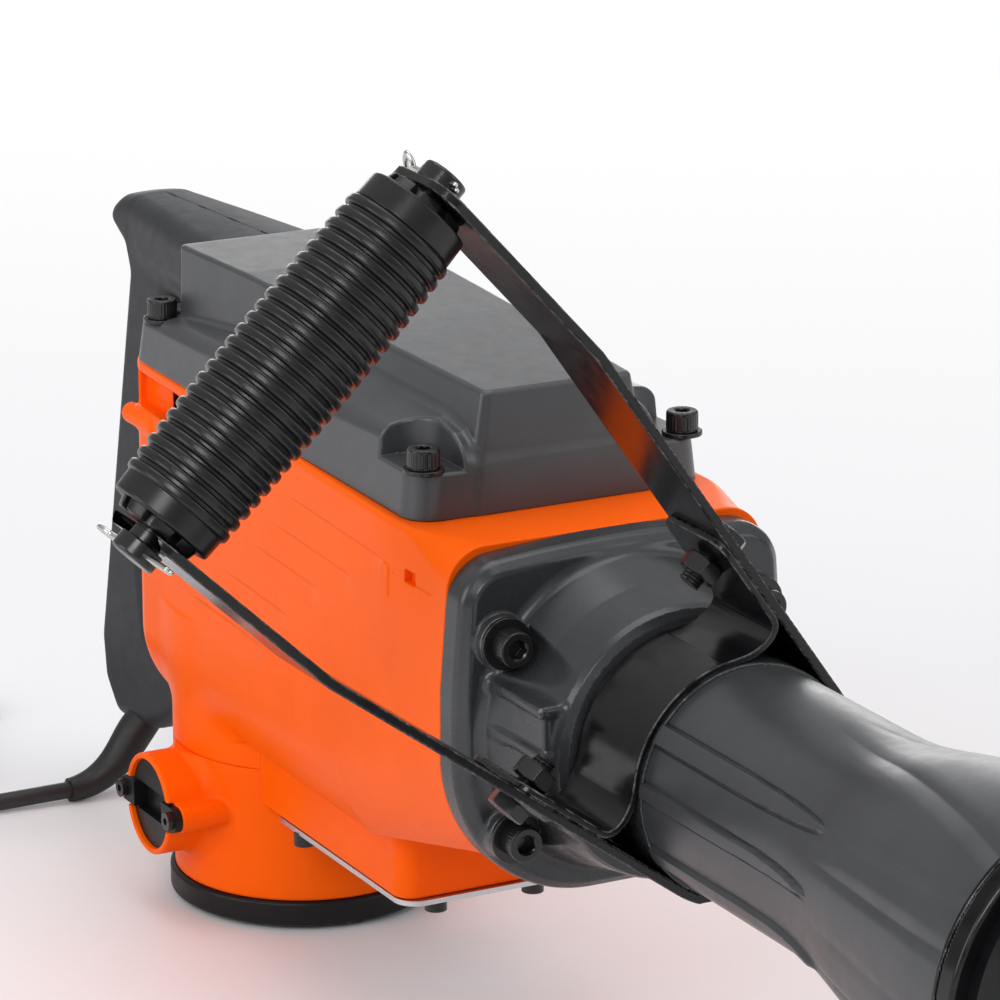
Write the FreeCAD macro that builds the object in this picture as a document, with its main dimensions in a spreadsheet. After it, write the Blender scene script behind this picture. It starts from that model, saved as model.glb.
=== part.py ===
import FreeCAD
import Part
import Sketcher
import math
import os
import re

# Demolition hammer with a hexagonal tool socket, as an assembly of separate pieces.
# Frame: millimetres, +X along the tool axis to the nose, +Z up, origin on the floor
# under the motor axis.

os.makedirs("parts", exist_ok=True)
doc = FreeCAD.newDocument("DemolitionHammer")
sheet = doc.addObject("Spreadsheet::Sheet", "Sizes")
Vector = FreeCAD.Vector

SIZES = [
    # whole tool
    ("axis_height", 152.5, "tool axis over the floor"),
    ("fit", 0.05, "running clearance at a radius"),
    ("gap", 0.3, "clearance between moving and fixed faces"),
    # motor
    ("foot_height", 2, "feet under the tail cover"),
    ("tail_radius", 54, "tail cover outside"),
    ("tail_top", 12, "tail cover rim over the floor"),
    ("housing_radius", 52, "motor housing outside"),
    ("stator_radius", 48, "stator core outside and motor bore"),
    ("pole_radius", 27.5, "stator bore"),
    ("slot_radius", 37, "stator slot bottom"),
    ("stator_low", 62, "stator core lower face"),
    ("stator_high", 116, "stator core upper face"),
    ("armature_radius", 26.9, "armature core outside"),
    ("brush_height", 45.5, "brush axis over the floor"),
    ("boss_reach", 68.7, "brush boss rim from the motor axis"),
    ("boss_radius", 20.4, "brush boss outside"),
    ("boss_bore", 18, "brush boss bore"),
    ("ear_reach", 22, "brush cap screw from the brush axis"),
    ("post_reach", 41.5, "tail screws from the motor axis"),
    ("lower_seat", 22, "lower armature bearing"),
    ("upper_seat", 141, "upper armature bearing"),
    # crankcase
    ("body_bottom", 66, "crankcase lower face"),
    ("body_top", "=axis_height + 63.5", "crankcase and cover joint"),
    ("body_rear", -57, "crankcase rear face"),
    ("body_front", 247, "crankcase and cylinder case joint"),
    ("rear_half", 50, "crankcase half width at the rear"),
    ("front_half", 66, "crankcase half width at the front"),
    ("flange_low", 87, "lower edge of the front face"),
    ("belly", 46, "rounding under the sides"),
    ("corner", 14, "rounding of the front corners"),
    ("flange_round", 55, "lower rounding of the cylinder case flange"),
    ("foot_rear", 58, "rear end of the foot"),
    ("foot_front", 160, "front end of the foot"),
    ("foot_half", 37, "foot half width"),
    ("foot_bottom", 52.5, "foot lower face"),
    ("plate_thick", 2, "bottom plate"),
    ("chamber_half", 41, "gear chamber half width"),
    ("chamber_floor", "=axis_height + 33.5", "gear chamber floor"),
    # gear train
    ("mid_axis", 34.4, "intermediate shaft from the motor axis"),
    ("crank_axis", 83.4, "crankshaft from the motor axis"),
    ("crank_throw", 18, "crank radius"),
    ("rod_length", 70, "connecting rod between centres"),
    ("fine_module", 1.25, "first gear pair"),
    ("coarse_module", 1.75, "second gear pair"),
    ("first_low", "=chamber_floor + 17", "first gear pair lower face"),
    ("second_low", "=chamber_floor + 1.5", "second gear pair lower face"),
    ("gear_face", 10, "first gear pair width"),
    ("crank_face", 11, "second gear pair width"),
    ("plate_height", 10, "bearing plate"),
    # striking train
    ("bore_radius", 27, "cylinder liner bore"),
    ("liner_radius", 31, "cylinder liner outside"),
    ("liner_start", 121, "cylinder liner rear end"),
    ("piston_length", 32, "piston"),
    ("striker_start", 193.6, "striker rear face"),
    ("striker_length", 45, "striker"),
    ("striker_travel", 30, "striker travel"),
    ("hammer_travel", 12, "second hammer travel"),
    ("hammer_radius", 17, "second hammer stem"),
    ("sleeve_radius", 33, "tool sleeve outside"),
    ("sleeve_start", 304, "tool sleeve rear end"),
    ("sleeve_end", 590, "tool sleeve front end"),
    ("hex_start", 384, "rear end of the hexagonal socket"),
    ("hex_flats", 30, "hexagonal socket across flats"),
    # front
    ("flange_thick", 14, "cylinder case flange"),
    ("neck_radius", 41.5, "neck under the side handle"),
    ("neck_end", 345, "cylinder case and barrel joint"),
    ("upper_bolt_y", 50.4, "upper flange bolts from the middle"),
    ("upper_bolt_z", "=axis_height + 33.8", "upper flange bolts over the floor"),
    ("lower_bolt_y", 46.8, "lower flange bolts from the middle"),
    ("lower_bolt_z", "=axis_height - 37.6", "lower flange bolts over the floor"),
    ("ring_start", 543, "nose ring rear end"),
    ("ring_end", 560, "nose ring front end"),
    ("ring_radius", 59.5, "nose ring outside"),
    ("cap_end", 598, "front cap front face"),
    ("cap_radius", 46, "front cap outside"),
    ("latch_x", 580, "retainer pin along the tool axis"),
    ("latch_rise", 21, "retainer pin over the tool axis"),
    ("latch_radius", 8, "retainer pin"),
    # gear cover
    ("shelf", "=body_top + 17", "cover bolt shelf over the floor"),
    ("cover_top", "=shelf + 31", "cover roof over the floor"),
    ("cover_rear", -45, "cover rear edge"),
    ("cover_front", 215, "cover front edge"),
    ("cover_rear_half", 52.5, "cover half width at the rear"),
    ("cover_front_half", 59.5, "cover half width at the front"),
    ("roof_rear", -24, "cover upper part, rear face"),
    ("roof_rear_half", 40, "roof half width at the rear"),
    ("roof_front_half", 30, "roof half width at the front"),
    ("roof_front", 211, "roof front edge"),
    ("cover_wall", 4, "cover wall"),
    ("cover_bolt_front", 208.5, "front cover screws along the tool"),
    ("cover_bolt_rear", -28, "rear cover screws along the tool"),
    ("cover_bolt_front_y", 52.2, "front cover screws from the middle"),
    ("cover_bolt_rear_y", 45.5, "rear cover screws from the middle"),
    # side handle, in its own plane across the tool axis
    ("handle_angle", 134.8, "side handle from the horizontal"),
    ("strap_x", 324, "side handle along the tool"),
    ("strap_wide", 40, "strap and clamp width"),
    ("strap_thick", 3.5, "strap"),
    ("strap_flare", 9.3, "lean of the strap legs in degrees"),
    ("strap_bend", 150, "bend in the strap legs from the tool axis"),
    ("strap_toe", 2, "lean of the strap ends in degrees"),
    ("grip_reach", 225, "grip axis from the tool axis"),
    ("strap_reach", "=grip_reach + 9", "strap ends from the tool axis"),
    ("grip_half", 65, "half of the grip length"),
    ("grip_radius", 19.2, "grip over the ribs"),
    ("rod_radius", 6, "grip rod"),
    ("saddle_thick", 2.5, "clamp saddle"),
    ("clamp_reach", 55, "clamp bolts from the tool axis"),
    # D-handle
    ("handle_half", 17, "D-handle half width"),
    ("grip_rear", -166, "D-handle grip rear face at the foot"),
    ("grip_front", -106, "D-handle grip front face beside the trigger"),
    ("grip_lean", 12.5, "forward lean of the D-handle grip in degrees"),
    ("arm_spread", 11, "D-handle arm, wider by this much at the cover"),
    ("web_rear", -70, "rear face of the D-handle web"),
    ("tab_rear", -67, "crankcase tab inside the D-handle"),
    ("trigger_low", 150, "trigger lower edge"),
    ("trigger_high", 186, "trigger upper edge"),
    ("trigger_travel", 6, "trigger travel"),
    ("button_height", 201, "lock button over the floor"),
    ("button_travel", 3, "lock button travel"),
    # cord
    ("cord_radius", 3.6, "power cord"),
    ("coil_x", -200.6, "coil centre along the tool"),
    ("coil_y", -132, "coil centre across the tool"),
    ("coil_middle", 43.2, "mean radius of the turns"),
]
NAMES = [row[0] for row in SIZES]
for number, (alias, value, note) in enumerate(SIZES, start=1):
    sheet.set(f"A{number}", note)
    sheet.set(f"B{number}", str(value))
    sheet.setAlias(f"B{number}", alias)
doc.recompute()

NODES = []


# ---------------------------------------------------------------- helpers

def linked(text):
    """An expression in which each size name points at the sheet."""
    return re.sub(r"[a-z][a-z_]*", lambda word: "Sizes." + word[0] if word[0] in NAMES else word[0], str(text))


def number_of(text):
    value = sheet.evalExpression(linked(text))
    return float(getattr(value, "Value", value))


def bind(thing, **properties):
    for name, text in properties.items():
        thing.setExpression(name.replace("__", "."), linked(text))
    return thing


def move(thing, x="0", y="0", z="0"):
    return bind(thing, Placement__Base__x=x, Placement__Base__y=y, Placement__Base__z=z)


def node(thing, name):
    thing.Label = name
    NODES.append(thing)
    return thing


TURNS = {
    "z": FreeCAD.Rotation(Vector(0, 0, 1), 0),
    "-z": FreeCAD.Rotation(Vector(1, 0, 0), 180),
    "x": FreeCAD.Rotation(Vector(0, 1, 0), 90),
    "-x": FreeCAD.Rotation(Vector(0, 1, 0), -90),
    "y": FreeCAD.Rotation(Vector(1, 0, 0), -90),
    "-y": FreeCAD.Rotation(Vector(1, 0, 0), 90),
}


def rod(at, way, radius, length):
    """A round bar that starts at a point and runs one way along an axis."""
    thing = doc.addObject("Part::Cylinder", "Round")
    thing.Placement = FreeCAD.Placement(Vector(), TURNS[way])
    move(thing, *at)
    return bind(thing, Radius=radius, Height=length)


def cone(at, way, radius_start, radius_end, length):
    thing = doc.addObject("Part::Cone", "Taper")
    thing.Placement = FreeCAD.Placement(Vector(), TURNS[way])
    move(thing, *at)
    return bind(thing, Radius1=radius_start, Radius2=radius_end, Height=length)


def ring(at, way, outside, inside, length):
    return cut(rod(at, way, outside, length), rod(at, way, inside, length))


def block(low, high):
    """A box between two corners."""
    thing = doc.addObject("Part::Box", "Block")
    move(thing, *low)
    sides = [f"({b}) - ({a})" for a, b in zip(low, high)]
    return bind(thing, Length=sides[0], Width=sides[1], Height=sides[2])


def fuse(*things):
    if len(things) == 1:
        return things[0]
    thing = doc.addObject("Part::MultiFuse", "Joined")
    thing.Shapes = list(things)
    thing.Refine = True
    return thing


def common(*things):
    thing = doc.addObject("Part::MultiCommon", "Shared")
    thing.Shapes = list(things)
    return thing


def cut(base, *tools):
    thing = doc.addObject("Part::Cut", "Left")
    thing.Base = base
    thing.Tool = fuse(*tools)
    thing.Refine = True
    return thing


def group(*things):
    thing = doc.addObject("Part::Compound", "Group")
    thing.Links = list(things)
    return thing


def on_handle(thing):
    """Turns a piece built round X into the side handle's plane."""
    thing.Placement = FreeCAD.Placement(Vector(), FreeCAD.Rotation(Vector(1, 0, 0), 1))
    bind(thing, Placement__Rotation__Angle="handle_angle")
    return move(thing, "0", "0", "axis_height")


def plane_of(body, role):
    return [feature for feature in body.Origin.OriginFeatures if feature.Role == role][0]


def outline(body, role, points, lift="0"):
    """A closed sketch of straight sides, its corners held by the sheet."""
    sketch = body.newObject("Sketcher::SketchObject", "Outline")
    sketch.AttachmentSupport = [(plane_of(body, role), "")]
    sketch.MapMode = "FlatFace"
    sketch.setExpression("AttachmentOffset.Base.z", linked(lift))
    places = [Vector(number_of(a), number_of(b), 0) for a, b in points]
    count = len(places)
    for index in range(count):
        sketch.addGeometry(Part.LineSegment(places[index], places[(index + 1) % count]), False)
    for index in range(count):
        sketch.addConstraint(Sketcher.Constraint("Coincident", index, 2, (index + 1) % count, 1))
    for index, (a, b) in enumerate(points):
        for kind, text, value in (("DistanceX", a, places[index].x), ("DistanceY", b, places[index].y)):
            held = sketch.addConstraint(Sketcher.Constraint(kind, -1, 1, index, 1, value))
            sketch.setExpression(f"Constraints[{held}]", linked(text))
    return sketch


def turned(points, way="x"):
    """A body turned about an axis, from points of (place along the axis, radius)."""
    body = doc.addObject("PartDesign::Body", "Turned")
    if way == "x":
        sketch = outline(body, "XZ_Plane", points)
    elif way == "z":
        sketch = outline(body, "XZ_Plane", [(radius, along) for along, radius in points])
    else:
        sketch = outline(body, "XY_Plane", [(radius, along) for along, radius in points])
    turn = body.newObject("PartDesign::Revolution", "Turn")
    turn.Profile = sketch
    turn.ReferenceAxis = (sketch, ["H_Axis" if way == "x" else "V_Axis"])
    turn.Angle = 360
    body.Tip = turn
    doc.recompute()
    return body


def padded(role, points, length, lift="0", middle=False):
    """A body pushed up from a straight-sided outline."""
    body = doc.addObject("PartDesign::Body", "Padded")
    pad = body.newObject("PartDesign::Pad", "Pad")
    pad.Profile = outline(body, role, points, lift)
    pad.Midplane = middle
    bind(pad, Length=length)
    body.Tip = pad
    doc.recompute()
    return body


def dress(body, kind, size, chooser):
    """Fillets or chamfers the edges of the tip that the chooser takes."""
    tip = body.Tip
    names = [f"Edge{i + 1}" for i, edge in enumerate(tip.Shape.Edges) if chooser(edge)]
    feature = body.newObject("PartDesign::" + kind, kind)
    feature.Base = (tip, names)
    bind(feature, **{"Radius" if kind == "Fillet" else "Size": size})
    body.Tip = feature
    doc.recompute()
    return body


def upright_at(role, *corners):
    """Chooses straight edges square to a plane, at corners given in that plane."""
    keep = {"XY_Plane": (0, 1, 2), "XZ_Plane": (0, 2, 1), "YZ_Plane": (1, 2, 0)}[role]

    def chooser(edge):
        if len(edge.Vertexes) != 2:
            return False
        one, two = edge.Vertexes[0].Point, edge.Vertexes[1].Point
        if abs(one[keep[0]] - two[keep[0]]) + abs(one[keep[1]] - two[keep[1]]) > 0.001:
            return False
        return any(abs(one[keep[0]] - number_of(a)) + abs(one[keep[1]] - number_of(b)) < 0.01
                   for a, b in corners)
    return chooser


def rings_at(way, *rings):
    """Chooses whole circles round an axis, given as (place along the axis, radius)."""
    along = "xyz".index(way)

    def chooser(edge):
        if edge.Curve.TypeId != "Part::GeomCircle":
            return False
        return any(abs(edge.Curve.Center[along] - number_of(a)) + abs(edge.Curve.Radius - number_of(b)) < 0.01
                   for a, b in rings)
    return chooser


def gear(teeth, module, at, height, play, first_angle=0, shift=0):
    """A spur gear with involute flanks, made narrower by the play."""
    radius = teeth * module / 2
    base = radius * math.cos(math.radians(20))
    outer = radius + (0.85 + shift) * module
    root = radius - (1.25 - shift) * module
    half = math.pi / (2 * teeth) - play / (2 * radius) + shift * 2 * math.tan(math.radians(20)) / teeth
    start = max(base, root)

    def flank(distance):
        roll = math.sqrt(max((distance / base) ** 2 - 1, 0))
        pitch_roll = math.sqrt((radius / base) ** 2 - 1)
        return half - (roll - math.atan(roll)) + (pitch_roll - math.atan(pitch_roll))

    steps = [start + (outer - start) * k / 4 for k in range(5)]
    edges = []

    def spot(distance, angle):
        return Vector(distance * math.cos(angle), distance * math.sin(angle), 0)

    for tooth in range(teeth):
        middle = math.radians(first_angle) + 2 * math.pi * tooth / teeth
        following = middle + 2 * math.pi / teeth
        rise = [spot(d, middle - flank(d)) for d in steps]
        fall = [spot(d, middle + flank(d)) for d in reversed(steps)]
        low_right = spot(root, middle - flank(start))
        low_left = spot(root, middle + flank(start))
        next_right = spot(root, following - flank(start))
        if start > root:
            edges.append(Part.LineSegment(low_right, rise[0]).toShape())
        curve = Part.BSplineCurve()
        curve.interpolate(rise)
        edges.append(curve.toShape())
        edges.append(Part.Arc(rise[-1], spot(outer, middle), fall[0]).toShape())
        curve = Part.BSplineCurve()
        curve.interpolate(fall)
        edges.append(curve.toShape())
        if start > root:
            edges.append(Part.LineSegment(fall[-1], low_left).toShape())
        edges.append(Part.Arc(low_left, spot(root, middle + math.pi / teeth), next_right).toShape())
    face = Part.Face(Part.Wire(Part.__sortEdges__(edges)))
    thing = doc.addObject("Part::Feature", "Teeth")
    thing.Shape = face.extrude(Vector(0, 0, number_of(height)))
    return move(thing, *at)


# ---------------------------------------------------------------- motor

POST_ANGLES = (0, 120, 240)


def post_place(angle):
    return f"post_reach * cos({angle} deg)", f"post_reach * sin({angle} deg)"


def make_tail():
    shell = turned([("0", "0"), ("0", "16"), ("foot_height", "16"), ("foot_height", "tail_radius"), ("tail_top", "tail_radius"),
                    ("tail_top", "tail_radius - 3.5"), ("foot_height + 3", "tail_radius - 3.5"),
                    ("foot_height + 3", "17"), ("lower_seat + 8", "17"), ("lower_seat + 8", "13"),
                    ("lower_seat", "13"), ("lower_seat", "10"), ("foot_height + 3", "10"),
                    ("foot_height + 3", "0")], "z")
    dress(shell, "Fillet", "1.5", rings_at("z", ("foot_height", "tail_radius"), ("tail_top", "tail_radius")))
    solids = [shell]
    holes = []
    screws = []
    for angle in POST_ANGLES:
        x, y = post_place(angle)
        solids.append(rod((x, y, "0"), "z", "7.5", "foot_height + 3"))
        solids.append(rod((x, y, "foot_height"), "z", "6", "tail_top - foot_height"))
        holes.append(rod((x, y, "0"), "z", "4.6", "foot_height + 3"))
        holes.append(rod((x, y, "0"), "z", "2.75", "tail_top"))
        head = rod((x, y, "foot_height - 0.5"), "z", "4.2", "3.5")
        socket = rod((x, y, "foot_height - 0.5"), "z", "1.8", "1.8")
        shank = rod((x, y, "foot_height + 3"), "z", "2.5", "tail_top - foot_height + 15")
        screws.append(cut(fuse(head, shank), socket))
    node(cut(fuse(*solids), *holes), "tail_cover")
    node(group(*screws), "tail_cover_screws")


def make_housing():
    shell = turned([("tail_top", "housing_radius"), ("body_bottom", "housing_radius"),
                    ("body_bottom", "stator_radius"), ("tail_top", "stator_radius")], "z")
    solids = [shell]
    for angle in POST_ANGLES:
        x, y = post_place(angle)
        solids.append(rod((x, y, "tail_top"), "z", "6.6", "28"))
    bosses = []
    hollows = []
    for way in ("y", "-y"):
        sign = "" if way == "y" else "-"
        bosses.append(rod(("0", f"{sign}36", "brush_height"), way, "boss_radius", "boss_reach - 36"))
        for side in ("-", ""):
            bosses.append(rod((f"{side}ear_reach", f"{sign}36", "brush_height"), way, "5.5", "boss_reach - 39.2"))
            start = (f"{side}ear_reach", f"{sign}54", "brush_height")
            hollows.append(rod(start, way, "2", "14.7"))
        hollows.append(rod(("0", f"{sign}58", "brush_height"), way, "boss_bore", "14"))
    outer = cut(fuse(*bosses), rod(("0", "0", "0"), "z", "stator_radius", "body_bottom"))
    for sign in ("", "-"):
        near, far = ("boss_reach - 3.2", "boss_reach + 2")
        low, high = (near, far) if sign == "" else ("-(boss_reach + 2)", "-(boss_reach - 3.2)")
        hollows.append(block(("-30", low, "brush_height - 6"), ("30", high, "brush_height + 6")))
    hollows.append(block(("-7.5", "-60", "brush_height - 10.5"), ("7.5", "60", "brush_height + 10.5")))
    solids.append(outer)
    for angle in POST_ANGLES:
        x, y = post_place(angle)
        hollows.append(rod((x, y, "tail_top"), "z", "2.5", "19"))
    node(cut(fuse(*solids), *hollows), "motor_housing")


def make_brush_gear():
    caps = []
    screws = []
    holders = []
    carbons = []
    springs = []
    for way in ("y", "-y"):
        sign = "" if way == "y" else "-"
        disc = rod(("0", f"{sign}60", "brush_height"), way, "boss_bore - 0.1", "boss_reach - 62.2")
        ears = rod(("-1 * ear_reach", f"{sign}(boss_reach - 3.2)", "brush_height"), way, "5", "3")
        other = rod(("ear_reach", f"{sign}(boss_reach - 3.2)", "brush_height"), way, "5", "3")
        low, high = ("boss_reach - 3.2", "boss_reach - 0.2")
        if sign:
            low, high = ("-(boss_reach - 0.2)", "-(boss_reach - 3.2)")
        bar = block(("-1 * ear_reach", low, "brush_height - 5"), ("ear_reach", high, "brush_height + 5"))
        bites = [rod((f"{side}ear_reach", f"{sign}54", "brush_height"), way, "2.15", "16") for side in ("-", "")]
        low, high = ("boss_reach - 6", "boss_reach + 1") if not sign else ("-(boss_reach + 1)", "-(boss_reach - 6)")
        dish = block(("-13", low, "brush_height - 6"), ("13", high, "brush_height + 6"))
        caps.append(cut(fuse(disc, ears, other, bar), dish, *bites))
        for side in ("-", ""):
            shank = rod((f"{side}ear_reach", f"{sign}54.5", "brush_height"), way, "2", "boss_reach - 54.7")
            head = rod((f"{side}ear_reach", f"{sign}(boss_reach - 0.2)", "brush_height"), way, "3.6", "2.4")
            dip = rod((f"{side}ear_reach", f"{sign}(boss_reach + 1)", "brush_height"), way, "1.5", "1.2")
            screws.append(cut(fuse(shank, head), dip))
        ends = ("20.5", "58") if not sign else ("-58", "-20.5")
        outer = block(("-7.5", ends[0], "brush_height - 10.5"), ("7.5", ends[1], "brush_height + 10.5"))
        inner = block(("-5.2", ends[0], "brush_height - 8.2"), ("5.2", ends[1], "brush_height + 8.2"))
        holders.append(cut(outer, inner))
        ends = ("19.4", "40") if not sign else ("-40", "-19.4")
        carbons.append(block(("-5", ends[0], "brush_height - 8.2"), ("5", ends[1], "brush_height + 8.2")))
        coils = Part.makeHelix(3, 19, 3.6)
        wire = Part.Wire(Part.makeCircle(0.5, Vector(3.6, 0, 0), Vector(0, 1, 0)))
        spring = doc.addObject("Part::Feature", "Spring")
        spring.Shape = Part.Wire(coils).makePipeShell([wire], True, True)
        spring.Placement = FreeCAD.Placement(Vector(), TURNS[way])
        springs.append(move(spring, "0", f"{sign}40.5", "brush_height"))
    node(group(*caps), "brush_caps")
    node(group(*screws), "brush_cap_screws")
    node(group(*holders), "brush_holders")
    node(group(*carbons), "carbon_brushes")
    node(group(*springs), "brush_springs")


def slot(low, high, inside, outside):
    """A pair of stator slots, open to the bore, one each side of the tool."""
    sides = []
    for start in (52, 232):
        sector = doc.addObject("Part::Cylinder", "Sector")
        sector.Placement = FreeCAD.Placement(Vector(), FreeCAD.Rotation(Vector(0, 0, 1), start))
        move(sector, "0", "0", low)
        bind(sector, Radius=outside, Height=f"({high}) - ({low})")
        sector.Angle = 76
        sides.append(cut(sector, rod(("0", "0", low), "z", inside, f"({high}) - ({low})")))
    return sides


def make_motor():
    core = ring(("0", "0", "stator_low"), "z", "stator_radius", "pole_radius", "stator_high - stator_low")
    node(cut(core, *slot("stator_low", "stator_high", "pole_radius - 1", "slot_radius")), "stator_core")
    low = ring(("0", "0", "stator_low - 4"), "z", "slot_radius", "pole_radius + 1.5", "4")
    high = ring(("0", "0", "stator_high"), "z", "slot_radius", "pole_radius + 1.5", "4")
    legs = slot("stator_low", "stator_high", "pole_radius + 1.5", "slot_radius")
    node(fuse(low, high, *legs), "field_windings")
    core = turned([("60", "6.5"), ("60", "armature_radius"), ("118", "armature_radius"), ("118", "6.5")], "z")
    notch = core.newObject("PartDesign::Pocket", "Notch")
    notch.Profile = outline(core, "XY_Plane", [("armature_radius - 6", "-1.6"), ("armature_radius + 1", "-0.9"),
                                               ("armature_radius + 1", "0.9"), ("armature_radius - 6", "1.6")],
                            "119")
    bind(notch, Length="60")
    spread = core.newObject("PartDesign::PolarPattern", "Spread")
    spread.Originals = [notch]
    spread.Axis = (plane_of(core, "Z_Axis"), [""])
    spread.Angle = 360
    spread.Occurrences = 16
    core.Tip = spread
    node(core, "armature_core")
    node(ring(("0", "0", "36"), "z", "19", "6.5", "19"), "commutator")
    shaft = turned([("lower_seat", "0"), ("lower_seat", "5"), ("lower_seat + 8", "5"), ("lower_seat + 8", "6.5"),
                    ("upper_seat - 3", "6.5"), ("upper_seat - 3", "9"), ("upper_seat", "9"),
                    ("upper_seat", "7.5"), ("upper_seat + 11", "7.5"), ("upper_seat + 11", "5"),
                    ("first_low - 1", "5"), ("first_low - 1", "4.2"),
                    ("first_low + gear_face + 1", "4.2"), ("first_low + gear_face + 1", "0")], "z")
    teeth = gear(10, number_of("fine_module"), ("0", "0", "first_low - 0.5"), "gear_face + 1", 0.24, 0, 0.3)
    node(fuse(shaft, teeth), "armature_shaft")
    hub = ring(("0", "0", "122"), "z", "12", "6.5", "14")
    disc = ring(("0", "0", "122"), "z", "44", "6.5", "2")
    blades = []
    for step in range(12):
        blade = doc.addObject("Part::Box", "Blade")
        blade.Placement = FreeCAD.Placement(Vector(), FreeCAD.Rotation(Vector(0, 0, 1), 30 * step))
        move(blade, f"10 * cos({30 * step} deg)", f"10 * sin({30 * step} deg)", "124")
        bind(blade, Length="33", Width="1.6", Height="10")
        blades.append(blade)
    node(fuse(hub, disc, *blades), "cooling_fan")


# bearings: axis place, lower face, bore, outside radius, width
BEARINGS = [
    ("0", "lower_seat", 5, 13, 8),
    ("0", "upper_seat", 7.5, 17.5, 11),
    ("mid_axis", "chamber_floor - 10", 6, 14, 8),
    ("crank_axis", "chamber_floor - 14", 10, 21, 12),
    ("mid_axis", "body_top + 1.5", 6, 14, 8),
    ("crank_axis", "body_top + 1.5", 8, 16, 8),
]


def make_bearings():
    pieces = []
    for x, low, bore, outside, width in BEARINGS:
        body = ring((x, "0", low), "z", outside, bore, width)
        middle = (bore + outside) / 2
        pieces.append(cut(body, ring((x, "0", f"{low} + {width - 0.8}"), "z", middle + 2, middle - 2, "2"),
                          ring((x, "0", f"{low} - 1.2"), "z", middle + 2, middle - 2, "2")))
    node(group(*pieces), "ball_bearings")


# ---------------------------------------------------------------- gear train

def make_gear_train():
    top = "body_top + 1.5"
    plate = block(("-20", "-1 * (chamber_half + 4)", "body_top"), ("128", "chamber_half + 4",
                                                                   "body_top + plate_height"))
    pockets = []
    for x, low, bore, outside, width in BEARINGS[4:]:
        pockets.append(rod((x, "0", f"{low} - 3"), "z", outside, f"{width} + 3"))
        pockets.append(rod((x, "0", low), "z", bore + 1, "20"))
    pockets.append(rod(("0", "0", "body_top - 1"), "z", "10", "20"))
    node(cut(plate, *pockets), "bearing_plate")
    mesh = number_of("first_low")
    wheel = gear(45, number_of("fine_module"), ("mid_axis", "0", "first_low"), "gear_face", 0.24, 0, -0.3)
    node(cut(wheel, rod(("mid_axis", "0", mesh - 1), "z", "7", "gear_face + 2")), "intermediate_gear")
    shaft = turned([("chamber_floor - 10", "0"), ("chamber_floor - 10", "6"), ("chamber_floor - 2", "6"),
                    ("chamber_floor - 2", "8"), ("second_low - 0.5", "8"),
                    ("second_low - 0.5", "9"), ("first_low - 1.5", "9"), ("first_low - 1.5", "10"),
                    ("first_low", "10"), ("first_low", "7"), ("body_top", "7"), (top, "7"), (top, "6"),
                    (top + " + 8", "6"), (top + " + 8", "0")], "z")
    move(shaft, "mid_axis")
    small = gear(14, number_of("coarse_module"), ("mid_axis", "0", "second_low - 0.5"),
                 "first_low - second_low - 1", 0.3, 360 / 28, 0.1)
    node(fuse(shaft, small), "intermediate_shaft")
    large = gear(42, number_of("coarse_module"), ("crank_axis", "0", "second_low"), "crank_face", 0.3, 0, -0.1)
    bore = rod(("crank_axis", "0", "second_low - 1"), "z", "11", "crank_face + 2")
    holes = [rod((f"crank_axis + 23 * cos({60 * k + 30} deg)", f"23 * sin({60 * k + 30} deg)", "second_low - 1"),
                 "z", "6", "crank_face + 2") for k in range(6)]
    node(cut(large, bore, *holes), "crank_gear")
    disc = "axis_height + 8.5"
    seat = "chamber_floor - 14"
    shaft = turned([(disc, "0"), (disc, "31"), (disc + " + 8", "31"), (disc + " + 8", "12.5"), (seat, "12.5"),
                    (seat, "10"), (seat + " + 12", "10"), (seat + " + 12", "12.5"), ("second_low", "12.5"), ("second_low", "11"),
                    ("second_low + crank_face", "11"), ("second_low + crank_face", "13"),
                    ("second_low + crank_face + 3", "13"), ("second_low + crank_face + 3", "8"),
                    (top + " + 8", "8"), (top + " + 8", "0")], "z")
    move(shaft, "crank_axis")
    pin = rod(("crank_axis - crank_throw", "0", "axis_height + 6.3"), "z", "8", "2.2")
    node(fuse(shaft, pin), "crankshaft")


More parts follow.
